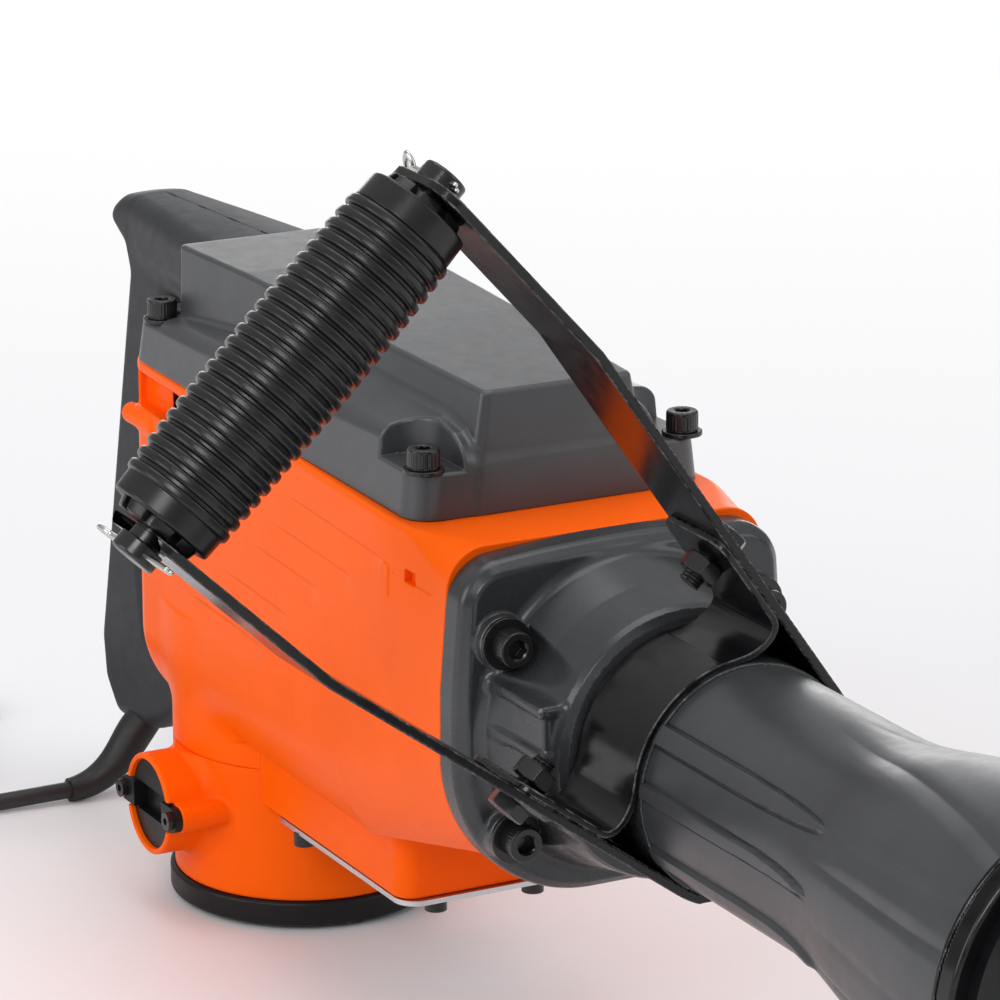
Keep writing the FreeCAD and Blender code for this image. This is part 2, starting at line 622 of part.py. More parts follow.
def make_striking_train():
    wrist = "crank_axis - crank_throw + rod_length"
    eye = rod(("crank_axis - crank_throw", "0", "axis_height - 6"), "z", "14", "12")
    small = rod((wrist, "0", "axis_height - 6"), "z", "11", "12")
    web = block(("crank_axis - crank_throw", "-7", "axis_height - 5"), (wrist, "7", "axis_height + 5"))
    holes = [rod(("crank_axis - crank_throw", "0", "axis_height - 7"), "z", "8.05", "14"),
             rod((wrist, "0", "axis_height - 7"), "z", "6 + fit", "14")]
    node(cut(fuse(eye, small, web), *holes), "connecting_rod")
    node(rod((wrist, "0", "axis_height - 22"), "z", "6", "44"), "wrist_pin")
    back = f"({wrist}) - 12"
    crown = f"({wrist}) - 12 + piston_length"
    body = rod((back, "0", "axis_height"), "x", "bore_radius - fit", "piston_length")
    inside = block((f"({back}) - 1", "-14", "axis_height - 6.5"), (f"({wrist}) + 11.6", "14", "axis_height + 6.5"))
    cross = rod((wrist, "0", "axis_height - 22"), "z", "6", "44")
    groove = ring((f"({crown}) - 6", "0", "axis_height"), "x", "bore_radius", "bore_radius - 2.5", "2.5")
    node(cut(body, inside, cross, groove), "piston")
    node(ring((f"({crown}) - 6", "0", "axis_height"), "x", "bore_radius - fit", "bore_radius - 2.5", "2.5"),
         "piston_ring")
    liner = rod(("liner_start", "0", "axis_height"), "x", "liner_radius", "sleeve_start - liner_start")
    node(cut(liner, rod(("liner_start - 1", "0", "axis_height"), "x", "bore_radius", "sleeve_start")),
         "cylinder_liner")
    grooves = [ring((f"striker_start + {place}", "0", "axis_height"), "x", "bore_radius", "bore_radius - 2.5", "3")
               for place in (8, 30)]
    body = rod(("striker_start", "0", "axis_height"), "x", "bore_radius - fit", "striker_length")
    node(cut(body, *grooves), "striker")
    seals = [ring((f"striker_start + {place}", "0", "axis_height"), "x", "bore_radius - fit", "bore_radius - 2.5",
                  "3") for place in (8, 30)]
    node(group(*seals), "striker_rings")
    start = "striker_start + striker_length + striker_travel + 0.5"
    second = turned([(start, "0"), (start, "19"), (start + " + 3", "22"),
                     ("sleeve_start - 6.2 - hammer_travel", "22"),
                     ("sleeve_start - 6.2 - hammer_travel", "hammer_radius - fit"),
                     ("hex_start - hammer_travel - 8", "hammer_radius - fit"),
                     ("hex_start - hammer_travel - 4", "hammer_radius - 4"),
                     ("hex_start - hammer_travel - 4", "0")])
    move(second, "0", "0", "axis_height")
    node(second, "second_hammer")
    node(ring(("sleeve_start - 6", "0", "axis_height"), "x", "bore_radius", "hammer_radius + 1", "6"),
         "damper_ring")


# ---------------------------------------------------------------- castings

def make_crankcase():
    side = padded("XZ_Plane", [("body_rear", "body_bottom"), ("foot_front", "body_bottom"),
                               ("body_front", "flange_low"), ("body_front", "body_top"),
                               ("body_rear", "body_top")], "2 * front_half", middle=True)
    dress(side, "Fillet", "4", upright_at("XZ_Plane", ("body_rear", "body_top")))
    plan = padded("XY_Plane", [("body_rear", "-1 * rear_half"), ("body_front", "-1 * front_half"),
                               ("body_front", "front_half"), ("body_rear", "rear_half")], "body_top + 5")
    dress(plan, "Fillet", "20", upright_at("XY_Plane", ("body_rear", "rear_half"), ("body_rear", "-rear_half")))
    face = padded("YZ_Plane", [("-1 * front_half", "body_bottom"), ("front_half", "body_bottom"),
                               ("front_half", "body_top"), ("-1 * front_half", "body_top")],
                  "body_front - body_rear + 10", "body_rear - 5")
    dress(face, "Fillet", "belly", upright_at("YZ_Plane", ("front_half", "body_bottom"),
                                              ("-front_half", "body_bottom")))
    dress(face, "Fillet", "3", upright_at("YZ_Plane", ("front_half", "body_top"), ("-front_half", "body_top")))
    hull = common(side, plan, face)
    foot = padded("XY_Plane", [("foot_rear", "-1 * foot_half"), ("foot_front", "-1 * foot_half"),
                               ("foot_front", "foot_half"), ("foot_rear", "foot_half")],
                  "body_bottom + 2 - foot_bottom", "foot_bottom")
    dress(foot, "Fillet", "8", upright_at("XY_Plane", ("foot_front", "foot_half"), ("foot_front", "-foot_half")))
    flare = rod(("0", "0", "body_bottom"), "z", "housing_radius", "44")
    tab = block(("tab_rear", "-4", "84"), ("body_rear + 5", "4", "200"))
    trims = []
    for sign in ("", "-"):
        low, high = ("front_half - corner", "front_half + 1")
        if sign:
            low, high = ("-(front_half + 1)", "-(front_half - corner)")
        square = block(("cover_front + 8", low, "body_top - corner - 1"), ("body_front + 1", high, "body_top + 1"))
        trims.append(cut(square, rod(("cover_front", f"{sign}(front_half - corner)", "body_top - corner - 1"),
                                     "x", "corner + 0.5", "60")))
    hollows = [
        rod(("0", "0", "body_bottom"), "z", "stator_radius", "72"),
        rod(("0", "0", "137"), "z", "17.5", "upper_seat + 11 - 137"),
        rod(("0", "0", "137"), "z", "10", "60"),
        block(("-32", "-1 * chamber_half", "chamber_floor"), ("130", "chamber_half", "body_top + 1")),
        block(("38", "-36", "axis_height - 34.5"), ("liner_start", "36", "axis_height + 17.5")),
        rod(("crank_axis", "0", "axis_height + 16.5"), "z", "13.5", "4"),
        rod(("crank_axis", "0", "chamber_floor - 14"), "z", "21", "20"),
        rod(("mid_axis", "0", "chamber_floor - 10"), "z", "14", "20"),
        rod(("110", "0", "axis_height"), "x", "liner_radius", "160"),
        block(("128", "38", "axis_height - 22.5"), ("body_front + 1", "58", "axis_height + 19.5")),
        block(("128", "-58", "axis_height - 22.5"), ("body_front + 1", "-38", "axis_height + 19.5")),
        block(("128", "-34", "84"), ("200", "34", "axis_height - 40.5")),
        block(("150", "-34", "axis_height + 35.5"), ("body_front + 1", "34", "body_top - 10")),
        block(("foot_rear + 5", "-30", "foot_bottom - 1"), ("foot_front - 8", "30", "110")),
    ]
    for y, z in (("upper_bolt_y", "upper_bolt_z"), ("lower_bolt_y", "lower_bolt_z")):
        for sign in ("", "-"):
            hollows.append(rod(("body_front - 24", f"{sign}{y}", z), "x", "4", "25"))
    for x, y in (("cover_bolt_front", "cover_bolt_front_y"), ("cover_bolt_rear", "cover_bolt_rear_y")):
        for sign in ("", "-"):
            hollows.append(rod((x, f"{sign}{y}", "body_top - 22"), "z", "3", "23"))
    for sign in ("", "-"):
        hollows.append(rod(("foot_front - 5", f"{sign}20.5", "foot_bottom - 1"), "z", "2.5", "17"))
        hollows.append(rod(("foot_rear + 12", f"{sign}33.5", "foot_bottom - 1"), "z", "2.5", "17"))
    for height in ("100", "180"):
        hollows.append(rod(("tab_rear + 5", "-6", height), "y", "2.75", "12"))
    node(cut(fuse(hull, foot, flare, tab), *trims, *hollows), "crankcase")


def make_bottom_plate():
    plate = padded("XY_Plane", [("foot_rear - 3", "-1 * foot_half"), ("foot_front + 2", "-1 * foot_half"),
                                ("foot_front + 2", "foot_half"), ("foot_rear - 3", "foot_half")],
                   "plate_thick", "foot_bottom - plate_thick")
    dress(plate, "Fillet", "9", upright_at("XY_Plane", ("foot_front + 2", "foot_half"),
                                           ("foot_front + 2", "-foot_half")))
    holes = []
    screws = []
    for sign in ("", "-"):
        for x, y in (("foot_front - 5", "20.5"), ("foot_rear + 12", "33.5")):
            at = (x, sign + y)
            holes.append(rod((*at, "foot_bottom - 5"), "z", "2.75", "10"))
            head = rod((*at, "foot_bottom - plate_thick"), "-z", "4.25", "5")
            dip = rod((*at, "foot_bottom - plate_thick - 3"), "-z", "2.1", "2")
            shank = rod((*at, "foot_bottom - plate_thick"), "z", "2.5", "14")
            screws.append(cut(fuse(head, shank), dip))
    node(cut(plate, *holes), "bottom_plate")
    node(group(*screws), "bottom_plate_screws")


def trapezoid(rear, front, rear_half, front_half):
    return [(rear, f"-({rear_half})"), (front, f"-({front_half})"), (front, front_half), (rear, rear_half)]


def sloped(points, low, high, front_slope, side_slope):
    """A block on a four-sided plan whose walls lean inwards, the front wall by its own angle."""
    body = padded("XY_Plane", points, f"({high}) - ({low})", low)
    for angle, front in ((side_slope, False), (front_slope, True)):
        tip = body.Tip
        level = min(face.BoundBox.ZMin for face in tip.Shape.Faces)
        walls = []
        base = None
        for number, face in enumerate(tip.Shape.Faces):
            way = face.normalAt(0, 0)
            if abs(way.z) > 0.99:
                if face.BoundBox.ZMax < level + 0.01:
                    base = f"Face{number + 1}"
            elif (way.x > 0.8) == front:
                walls.append(f"Face{number + 1}")
        draft = body.newObject("PartDesign::Draft", "Draft")
        draft.Base = (tip, walls)
        draft.NeutralPlane = (tip, [base])
        bind(draft, Angle=angle)
        body.Tip = draft
        doc.recompute()
    return body


def slanted(edge):
    """Chooses straight edges that run from one level to another."""
    return len(edge.Vertexes) == 2 and abs(edge.Vertexes[0].Z - edge.Vertexes[1].Z) > 5


def tapered(low_points, low, high_points, high):
    """A block between two four-sided outlines, one over the other."""
    body = doc.addObject("PartDesign::Body", "Tapered")
    foot = outline(body, "XY_Plane", low_points, low)
    head = outline(body, "XY_Plane", high_points, high)
    loft = body.newObject("PartDesign::AdditiveLoft", "Loft")
    loft.Profile = foot
    loft.Sections = [head]
    loft.Ruled = True
    body.Tip = loft
    doc.recompute()
    return body


def make_cover():
    lower = sloped(trapezoid("cover_rear", "cover_front", "cover_rear_half", "cover_front_half"), "body_top",
                   "shelf + 2", "3", "6")
    dress(lower, "Fillet", "12", slanted)
    upper = tapered(trapezoid("roof_rear", "cover_front - 1.5", "roof_rear_half + 2", "cover_front_half - 6"), "shelf - 6",
                    trapezoid("roof_rear", "roof_front", "roof_rear_half", "roof_front_half"), "cover_top")
    inner = tapered(trapezoid("roof_rear + cover_wall", "cover_front - 6", "roof_rear_half - 4", "cover_front_half - 11"),
                    "body_top - 1",
                    trapezoid("roof_rear + cover_wall", "roof_front - 6", "roof_rear_half - 5", "roof_front_half - 5"),
                    "cover_top - cover_wall")
    base_room = block(("cover_rear + 10", "-1 * (chamber_half + 4.5)", "body_top - 1"),
                      ("135", "chamber_half + 4.5", "body_top + plate_height + 1"))
    trims = [inner, base_room]
    holes = []
    for x, y in (("cover_bolt_front", "cover_bolt_front_y"), ("cover_bolt_rear", "cover_bolt_rear_y")):
        for sign in ("", "-"):
            trims.append(rod((x, sign + y, "shelf"), "z", "8", "40"))
            holes.append(rod((x, sign + y, "body_top - 1"), "z", "3.3", "40"))
    posts = [rod((x, sign + y, "body_top"), "z", "7", "shelf - body_top")
             for x, y in (("cover_bolt_front", "cover_bolt_front_y"), ("cover_bolt_rear", "cover_bolt_rear_y"))
             for sign in ("", "-")]
    posts = common(fuse(*posts), lower)
    node(cut(fuse(cut(fuse(lower, upper), *trims), posts), *holes), "top_cover")
    screws = []
    for x, y in (("cover_bolt_front", "cover_bolt_front_y"), ("cover_bolt_rear", "cover_bolt_rear_y")):
        for sign in ("", "-"):
            head = rod((x, sign + y, "shelf"), "z", "5", "6")
            dip = hexagon((x, sign + y, "shelf + 2.5"), "z", "2.9", "5")
            shank = rod((x, sign + y, "body_top - 21"), "z", "3", "shelf - body_top + 21")
            screws.append(cut(fuse(head, shank), dip))
    node(group(*screws), "top_cover_screws")


def hexagon(at, way, corner_radius, length):
    thing = doc.addObject("Part::Prism", "Hexagon")
    thing.Polygon = 6
    thing.Placement = FreeCAD.Placement(Vector(), TURNS[way])
    move(thing, *at)
    return bind(thing, Circumradius=corner_radius, Height=length)


def make_cylinder_case():
    plate = padded("YZ_Plane", [("-1 * front_half", "flange_low"), ("front_half", "flange_low"),
                                ("front_half", "body_top"), ("-1 * front_half", "body_top")],
                   "flange_thick", "body_front")
    dress(plate, "Fillet", "corner", upright_at("YZ_Plane", ("front_half", "body_top"), ("-front_half", "body_top")))
    dress(plate, "Fillet", "flange_round", upright_at("YZ_Plane", ("front_half", "flange_low"),
                                                      ("-front_half", "flange_low")))
    front = "body_front + flange_thick"
    dress(plate, "Chamfer", "4", lambda edge: all(abs(v.X - number_of(front)) < 0.01 for v in edge.Vertexes))
    crest = "strap_x - strap_wide / 2 - 4"
    dome = turned([("body_front + 1", "0"), ("body_front + 1", "58"), (front, "57.5"), (front + " + 8", "55.5"),
                   (front + " + 20", "52.5"), (crest, "49.5"), (crest + " + 2", "48"), (crest + " + 3.7", "45"),
                   (crest + " + 3.7", "neck_radius"), ("neck_end", "neck_radius"), ("neck_end", "0")])
    move(dome, "0", "0", "axis_height")
    shape = common(dome, block(("body_front", "-80", "flange_low"), ("neck_end", "80", "300")))
    cheeks = [block(("body_front", "-53", "axis_height - 21"), (crest, "53", "axis_height + 20"))]
    for rise in (-13.5, 2.5, 18.5):
        cheeks.append(block(("body_front", "-55", f"axis_height + {rise - 2}"), (crest, "55", f"axis_height + {rise + 2}")))
    pads = []
    holes = [rod(("body_front - 1", "0", "axis_height"), "x", "liner_radius", "sleeve_start - body_front + 1"),
             rod(("sleeve_start", "0", "axis_height"), "x", "sleeve_radius", "60")]
    bolts = []
    washers = []
    seat = front + " + 4.5"
    for y, z in (("upper_bolt_y", "upper_bolt_z"), ("lower_bolt_y", "lower_bolt_z")):
        for sign in ("", "-"):
            at = (seat, sign + y, z)
            pads.append(rod(("body_front", sign + y, z), "x", "11.5", "flange_thick + 4.5"))
            holes.append(rod(at, "x", "9.5", "40"))
            holes.append(rod(("body_front - 1", sign + y, z), "x", "4.5", "40"))
            washers.append(ring(at, "x", "8", "4", "2"))
            head = rod((seat + " + 2", sign + y, z), "x", "6.5", "8")
            shank = rod(("body_front - 22", sign + y, z), "x", "4", "28.5 + flange_thick")
            bolts.append(cut(fuse(head, shank), hexagon((seat + " + 6", sign + y, z), "x", "3.5", "5")))
    node(cut(fuse(plate, shape, *cheeks, *pads), *holes), "cylinder_case")
    node(group(*bolts), "flange_bolts")
    node(group(*washers), "flange_washers")


def make_barrel():
    barrel = turned([("neck_end", "sleeve_radius"), ("neck_end", "40.5"), ("420", "40.5"), ("440", "42"),
                     ("453", "45"), ("470", "48.5"), ("500", "53"), ("530", "57.5"), ("ring_start", "58"),
                     ("ring_start", "50"), ("ring_end", "50"), ("ring_end", "sleeve_radius")])
    move(barrel, "0", "0", "axis_height")
    node(barrel, "barrel")
    nose = ring(("ring_start", "0", "axis_height"), "x", "ring_radius", "50", "ring_end - ring_start")
    node(nose, "nose_ring")
    cap = turned([("ring_end", "sleeve_radius"), ("ring_end", "54"), ("ring_end + 5", "54"),
                  ("ring_end + 8", "cap_radius"), ("cap_end - 3", "cap_radius"), ("cap_end", "cap_radius - 3"),
                  ("cap_end", "24"), ("sleeve_end", "24"), ("sleeve_end", "sleeve_radius")])
    move(cap, "0", "0", "axis_height")
    latch = rod(("latch_x", "-60", "axis_height + latch_rise"), "y", "latch_radius + fit", "120")
    node(cut(cap, latch), "front_cap")
    sleeve = rod(("sleeve_start", "0", "axis_height"), "x", "sleeve_radius", "sleeve_end - sleeve_start")
    bore = rod(("sleeve_start - 1", "0", "axis_height"), "x", "hammer_radius", "hex_start - sleeve_start + 1")
    socket = hexagon(("hex_start", "0", "axis_height"), "x", "hex_flats / 2 / cos(30 deg)", "300")
    node(cut(sleeve, bore, socket, latch), "tool_sleeve")
    pin = rod(("latch_x", "-46", "axis_height + latch_rise"), "y", "latch_radius", "98")
    relief = block(("latch_x + 4.5", "-17", "axis_height"), ("latch_x + 10", "17", "axis_height + 50"))
    node(cut(pin, relief), "retainer_pin")
    hub = rod(("latch_x", "46.5", "axis_height + latch_rise"), "y", "12", "5.5")
    arm = block(("latch_x - 6", "46.5", "axis_height + latch_rise"),
                ("latch_x + 6", "52", "axis_height + latch_rise + 30"))
    tip = rod(("latch_x", "46.5", "axis_height + latch_rise + 30"), "y", "8", "8.5")
    bore = rod(("latch_x", "30", "axis_height + latch_rise"), "y", "latch_radius", "30")
    node(cut(fuse(hub, arm, tip), bore), "retainer_lever")


# ---------------------------------------------------------------- side handle

def strap_line(radius, reach, further=False):
    """Distance of a strap leg's face from the handle's centre line, before or past the bend."""
    lean = "strap_flare * 1 deg"
    before = f"(({radius}) + ({reach}) * sin({lean})) / cos({lean})"
    if not further:
        return before
    at_bend = f"(({radius}) + strap_bend * sin({lean})) / cos({lean})"
    return f"{at_bend} + (({reach}) - strap_bend) * tan(strap_toe * 1 deg)"


def make_strap():
    """A band round the neck whose two legs spread and then run nearly side by side."""
    low = "strap_x - strap_wide / 2"
    inside = "neck_radius + fit"
    outside = "neck_radius + fit + strap_thick"
    start = "sin(strap_flare * 1 deg)"
    rise = "cos(strap_flare * 1 deg)"
    pieces = [common(ring((low, "0", "0"), "x", outside, inside, "strap_wide"),
                     block((low, "-100", "-100"), (low + " + strap_wide", f"-({inside}) * {start}", "100")))]
    for sign in ("", "-"):
        points = [(f"-({outside}) * {start}", f"({outside}) * {rise}"), ("strap_bend", strap_line(outside, "strap_bend")),
                  ("strap_reach", strap_line(outside, "strap_reach", True)),
                  ("strap_reach", strap_line(inside, "strap_reach", True)),
                  ("strap_bend", strap_line(inside, "strap_bend")), (f"-({inside}) * {start}", f"({inside}) * {rise}")]
        leg = padded("YZ_Plane", [(a, f"{sign}({b})") for a, b in points], "strap_wide", low)
        reach = number_of("strap_reach")
        bend = number_of("strap_bend")
        dress(leg, "Fillet", "30", lambda edge: all(abs(v.Y - bend) < 0.01 for v in edge.Vertexes) and
              abs(edge.Vertexes[0].X - edge.Vertexes[-1].X) > 1)
        dress(leg, "Fillet", "10", lambda edge: len(edge.Vertexes) == 2 and
              all(abs(v.Y - reach) < 0.01 for v in edge.Vertexes) and
              abs(edge.Vertexes[0].Z - edge.Vertexes[1].Z) > 1)
        pieces.append(leg)
    return fuse(*pieces)


def leg_place(reach, further=False):
    """Distance of a strap leg's middle from the handle's centre line, at a reach."""
    return f"({strap_line('neck_radius + fit + strap_thick / 2', reach, further)})"


def make_side_handle():
    clamp = leg_place("clamp_reach")
    grip = leg_place("grip_reach", True)
    stack = "(strap_thick / 2 / cos(strap_flare * 1 deg))"
    bolt_holes = []
    ears = []
    bolts = []
    nuts = []
    for sign, way, back in (("", "z", "-z"), ("-", "-z", "z")):
        side = "1" if not sign else "-1"
        bolt_holes.append(rod(("strap_x", "clamp_reach", f"{sign}20"), way, "4.3", "60"))
        ear = doc.addObject("Part::Box", "Ear")
        turn = FreeCAD.Rotation(Vector(1, 0, 0), 1)
        ear.Placement = FreeCAD.Placement(Vector(), turn)
        bind(ear, Placement__Rotation__Angle=f"{side} * strap_flare")
        low = "((neck_radius + fit + 24 * sin(strap_flare * 1 deg)) / cos(strap_flare * 1 deg))"
        foot = f"{low} - saddle_thick / cos(strap_flare * 1 deg)" if not sign else f"-({low})"
        move(ear, "strap_x - strap_wide / 2", "24", foot)
        bind(ear, Length="strap_wide", Width="clamp_reach - 24 + 13", Height="saddle_thick")
        ears.append(ear)
        z_low, z_high = (f"{low} - 12", f"{low} - 0.6")
        if sign:
            z_low, z_high = (f"-({low} - 0.6)", f"-({low} - 12)")
        ears.append(block(("strap_x - strap_wide / 2", "24.4", z_low),
                          ("strap_x + strap_wide / 2", "24.4 + saddle_thick", z_high)))
        face = f"({clamp} + {stack} + 1.25)"
        head = hexagon(("strap_x", "clamp_reach", f"{sign}{face}"), way, "7.5", "5.3")
        shank = rod(("strap_x", "clamp_reach", f"{sign}({clamp} - 15)"), way, "4", f"15 + {stack} + 1.1")
        bolts.append(fuse(head, shank))
        nut_face = f"({clamp} - {stack} - saddle_thick - 1.3)"
        nut = hexagon(("strap_x", "clamp_reach", f"{sign}{nut_face}"), back, "7.5", "6.5")
        nuts.append(cut(nut, rod(("strap_x", "clamp_reach", f"{sign}20"), way, "4", "60")))
    band = ring(("strap_x - strap_wide / 2", "0", "0"), "x", "neck_radius + fit + saddle_thick", "neck_radius + fit",
                "strap_wide")
    half = block(("strap_x - 40", "24.4", "-60"), ("strap_x + 40", "60", "60"))
    core = rod(("strap_x - 40", "0", "0"), "x", "neck_radius + fit", "80")
    strap_zone = [rod(("strap_x", "grip_reach", f"-({grip} + 20)"), "z", "rod_radius + 0.05", f"2 * ({grip}) + 40")]
    strap = make_strap()
    node(on_handle(cut(strap, *bolt_holes, *strap_zone)), "handle_strap")
    node(on_handle(cut(fuse(common(band, half), *ears), core, *bolt_holes)), "clamp_saddle")
    node(on_handle(group(*bolts)), "clamp_bolts")
    node(on_handle(group(*nuts)), "clamp_nuts")
    make_grip(grip)


def make_grip(leg):
    core = rod(("strap_x", "grip_reach", "-1 * grip_half"), "z", "grip_radius - 1.4", "2 * grip_half")
    collars = [rod(("strap_x", "grip_reach", "-1 * grip_half + 1"), "z", "grip_radius - 0.4", "9"),
               rod(("strap_x", "grip_reach", "grip_half - 1"), "-z", "grip_radius - 0.4", "9")]
    ribs = []
    count = 13
    for number in range(count):
        place = f"-(grip_half - 13) + {number} * (2 * grip_half - 26 - 6.2) / {count - 1}"
        ribs.append(rod(("strap_x", "grip_reach", place), "z", "grip_radius", "6.2"))
    hollows = [rod(("strap_x", "grip_reach", "-1 * grip_half - 1"), "z", "rod_radius + fit", "2 * grip_half + 2")]
    for sign, way in (("", "-z"), ("-", "z")):
        hollows.append(ring(("strap_x", "grip_reach", f"{sign}(grip_half + 1)"), way, "grip_radius - 5",
                            "rod_radius + 3", "22"))
    node(on_handle(cut(fuse(core, *collars, *ribs), *hollows)), "side_grip")
    out = f"({leg} + strap_thick / 2)"
    bar = rod(("strap_x", "grip_reach", f"-({out} + 2)"), "z", "rod_radius", f"2 * {out} + 4")
    heads = []
    pins = []
    drills = []
    for sign, way in (("", "z"), ("-", "-z")):
        heads.append(rod(("strap_x", "grip_reach", f"{sign}({out} + 0.35)"), way, "8", "6.8"))
        drill = rod(("0", "0", "0"), "x", "1.2", "60")
        move(drill, "-30")
        long_pin = rod(("0", "0", "0"), "x", "1.2", "38")
        move(long_pin, "-18")
        eye = doc.addObject("Part::Torus", "Eye")
        move(eye, "-21.5")
        bind(eye, Radius1="3.4", Radius2="1.1")
        for thing, keep in ((fuse(drill), drills), (fuse(long_pin, eye), pins)):
            whole = group(thing)
            whole.Placement = FreeCAD.Placement(Vector(), FreeCAD.Rotation(Vector(0, 0, 1), -37))
            keep.append(move(whole, "strap_x", "grip_reach", f"{sign}({out} + 3.4)"))
    node(on_handle(cut(fuse(bar, *heads), *drills)), "grip_rod")
    node(on_handle(group(*pins)), "split_pins")


# ---------------------------------------------------------------- D-handle and cord

BOOT_END = (-133, -46, 5.2)
BOOT_RUN = 32
BOOT_BEND = 30


def make_boot():
    """A tapered rubber sleeve that leaves the handle at 45 degrees and turns down to level."""
    rings = []
    steep = math.radians(45)
    for number, tilt in enumerate((45, 45, 30, 15, 0)):
        run = 0 if number else BOOT_RUN
        slope = math.radians(tilt)
        aside = run * math.cos(steep) + BOOT_BEND * math.sin(slope)
        up = run * math.sin(steep) + BOOT_BEND * (1 - math.cos(slope))
        circle = doc.addObject("Part::Circle", "Section")
        circle.Placement = FreeCAD.Placement(Vector(), FreeCAD.Rotation(Vector(1, 0, 0), 90 + tilt))
        move(circle, BOOT_END[0], f"{BOOT_END[1] + aside}", f"{BOOT_END[2] + up}")
        bind(circle, Radius=f"cord_radius + 4 - 0.65 * {number}")
        rings.append(circle)
    sleeve = doc.addObject("Part::Loft", "Sleeve")
    sleeve.Sections = rings
    sleeve.Solid = True
    doc.recompute()
    return sleeve


def lean(x, z):
    """A place along the tool that leans forward with height, given at the trigger's middle."""
    return f"({x}) + (({z}) - (trigger_low + trigger_high) / 2) * tan(grip_lean * 1 deg)"


def leaning(x_low, x_high, z_low, z_high, half):
    """A block between two leaning faces."""
    points = [(lean(x_low, z_low), z_low), (lean(x_high, z_low), z_low),
              (lean(x_high, z_high), z_high), (lean(x_low, z_high), z_high)]
    return padded("XZ_Plane", points, f"2 * ({half})", f"-({half})")


HANDLE_OUTLINE = [
    ("grip_rear + 33", "238"), ("grip_rear + 19", "246"), ("grip_rear + 19", "253"), ("grip_rear + 27", "258"),
    ("grip_rear + 38", "cover_top - 4"), ("roof_rear - 36", "cover_top - 2"), ("roof_rear - 0.5", "cover_top - 1"),
    ("roof_rear - 0.5", "shelf + 4"), ("cover_rear - 0.5", "shelf + 4"), ("cover_rear - 0.5", "body_top"),
    ("body_rear", "body_top"), ("body_rear", "body_bottom + 4"), ("body_rear - 7", "58"), ("-117", "31.5"),
    ("-150", "28"), ("grip_rear + 3", "42"), ("grip_rear", "62"), ("grip_rear + 37", "228"),
]
HAND_HOLE = [
    (lean("grip_front", "100"), "100"), (lean("grip_front", "200"), "200"), ("web_rear - 20", "226"),
    ("web_rear - 8", "226"), ("web_rear", "210"), ("web_rear", "96"), ("web_rear - 12", "76"),
    (lean("grip_front + 12", "74"), "74"),
]
HANDLE_SCREWS = [("-150", "50"), ("-118", "243"), ("tab_rear + 5", "100"), ("tab_rear + 5", "180"), ("-62", "248")]


def half_handle(sign, boot):
    base = "0" if sign else "-1 * handle_half"
    half = padded("XZ_Plane", HANDLE_OUTLINE, "handle_half", base)
    face = number_of("handle_half") * (-1 if sign else 1)
    dress(half, "Fillet", "6", lambda edge: all(abs(v.Y - face) < 0.01 for v in edge.Vertexes) and
          not (edge.Vertexes[0].X > number_of("body_rear") - 3 and edge.Vertexes[-1].X > number_of("body_rear") - 3))
    arm = padded("XY_Plane", [("grip_rear + 42", "0"), ("grip_rear + 42", f"{sign}handle_half"),
                              ("roof_rear - 0.5", f"{sign}(handle_half + arm_spread)"), ("roof_rear - 0.5", "0")],
                 "cover_top - 4 - (shelf + 4)", "shelf + 4")
    hollow = padded("XZ_Plane", HAND_HOLE, "handle_half + 10", "-5" if sign else "-1 * handle_half - 5")
    switch_room = leaning("-139", "-131.5", "146", "172", "9")
    hollows = [
        hollow,
        boot,
        block(("tab_rear", "-4", "84"), ("body_rear + 1", "4", "200")),
        leaning("-119.5", "grip_front + 1", "trigger_low - gap", "trigger_high + gap", "8 + gap"),
        leaning("-131.5", "-118.7", "trigger_low - 4 - gap", "trigger_high + 4 + gap", "8 + gap"),
        switch_room,
        rod(("-118", "-5", "button_height"), "y", "5.3", "30") if not sign else
        rod(("-118", "-5", "button_height"), "y", "5.3", "10"),
    ]
    for x, z in HANDLE_SCREWS:
        if sign:
            hollows.append(rod((x, "-13", z), "y", "2.5", "14"))
        else:
            hollows.append(rod((x, "handle_half - 4", z), "y", "5.5", "30"))
            hollows.append(rod((x, "-1", z), "y", "2.75", "handle_half"))
    return cut(fuse(half, arm), *hollows)


def make_d_handle():
    boot = make_boot()
    node(half_handle("-", boot), "handle_left_shell")
    node(half_handle("", boot), "handle_right_shell")
    node(boot, "cord_boot")
    screws = []
    for x, z in HANDLE_SCREWS:
        head = rod((x, "handle_half - 4", z), "y", "4.6", "3.4")
        dip = rod((x, "handle_half - 2.6", z), "y", "1.8", "4")
        shank = rod((x, "-12.9", z), "y", "2.5", "handle_half + 9")
        screws.append(cut(fuse(head, shank), dip))
    node(group(*screws), "handle_screws")
    middle = "(trigger_low + trigger_high) / 2"
    finger = padded("XZ_Plane", [(lean("-119", "trigger_low"), "trigger_low"),
                                 (lean("grip_front + 3", "trigger_low"), "trigger_low"),
                                 (lean("grip_front + 6", "trigger_low + 5"), "trigger_low + 5"),
                                 (lean("grip_front + 4", middle), middle),
                                 (lean("grip_front + 6", "trigger_high - 5"), "trigger_high - 5"),
                                 (lean("grip_front + 3", "trigger_high"), "trigger_high"),
                                 (lean("-119", "trigger_high"), "trigger_high")], "16", "-8")
    tail = leaning("-124.5", "-118.9", "trigger_low - 4", "trigger_high + 4", "8")
    node(fuse(finger, tail), "trigger")
    node(rod(("-118", "9", "button_height"), "y", "5", "11"), "lock_button")
    node(leaning("-139", "-131.5", "146", "172", "9"), "switch_body")


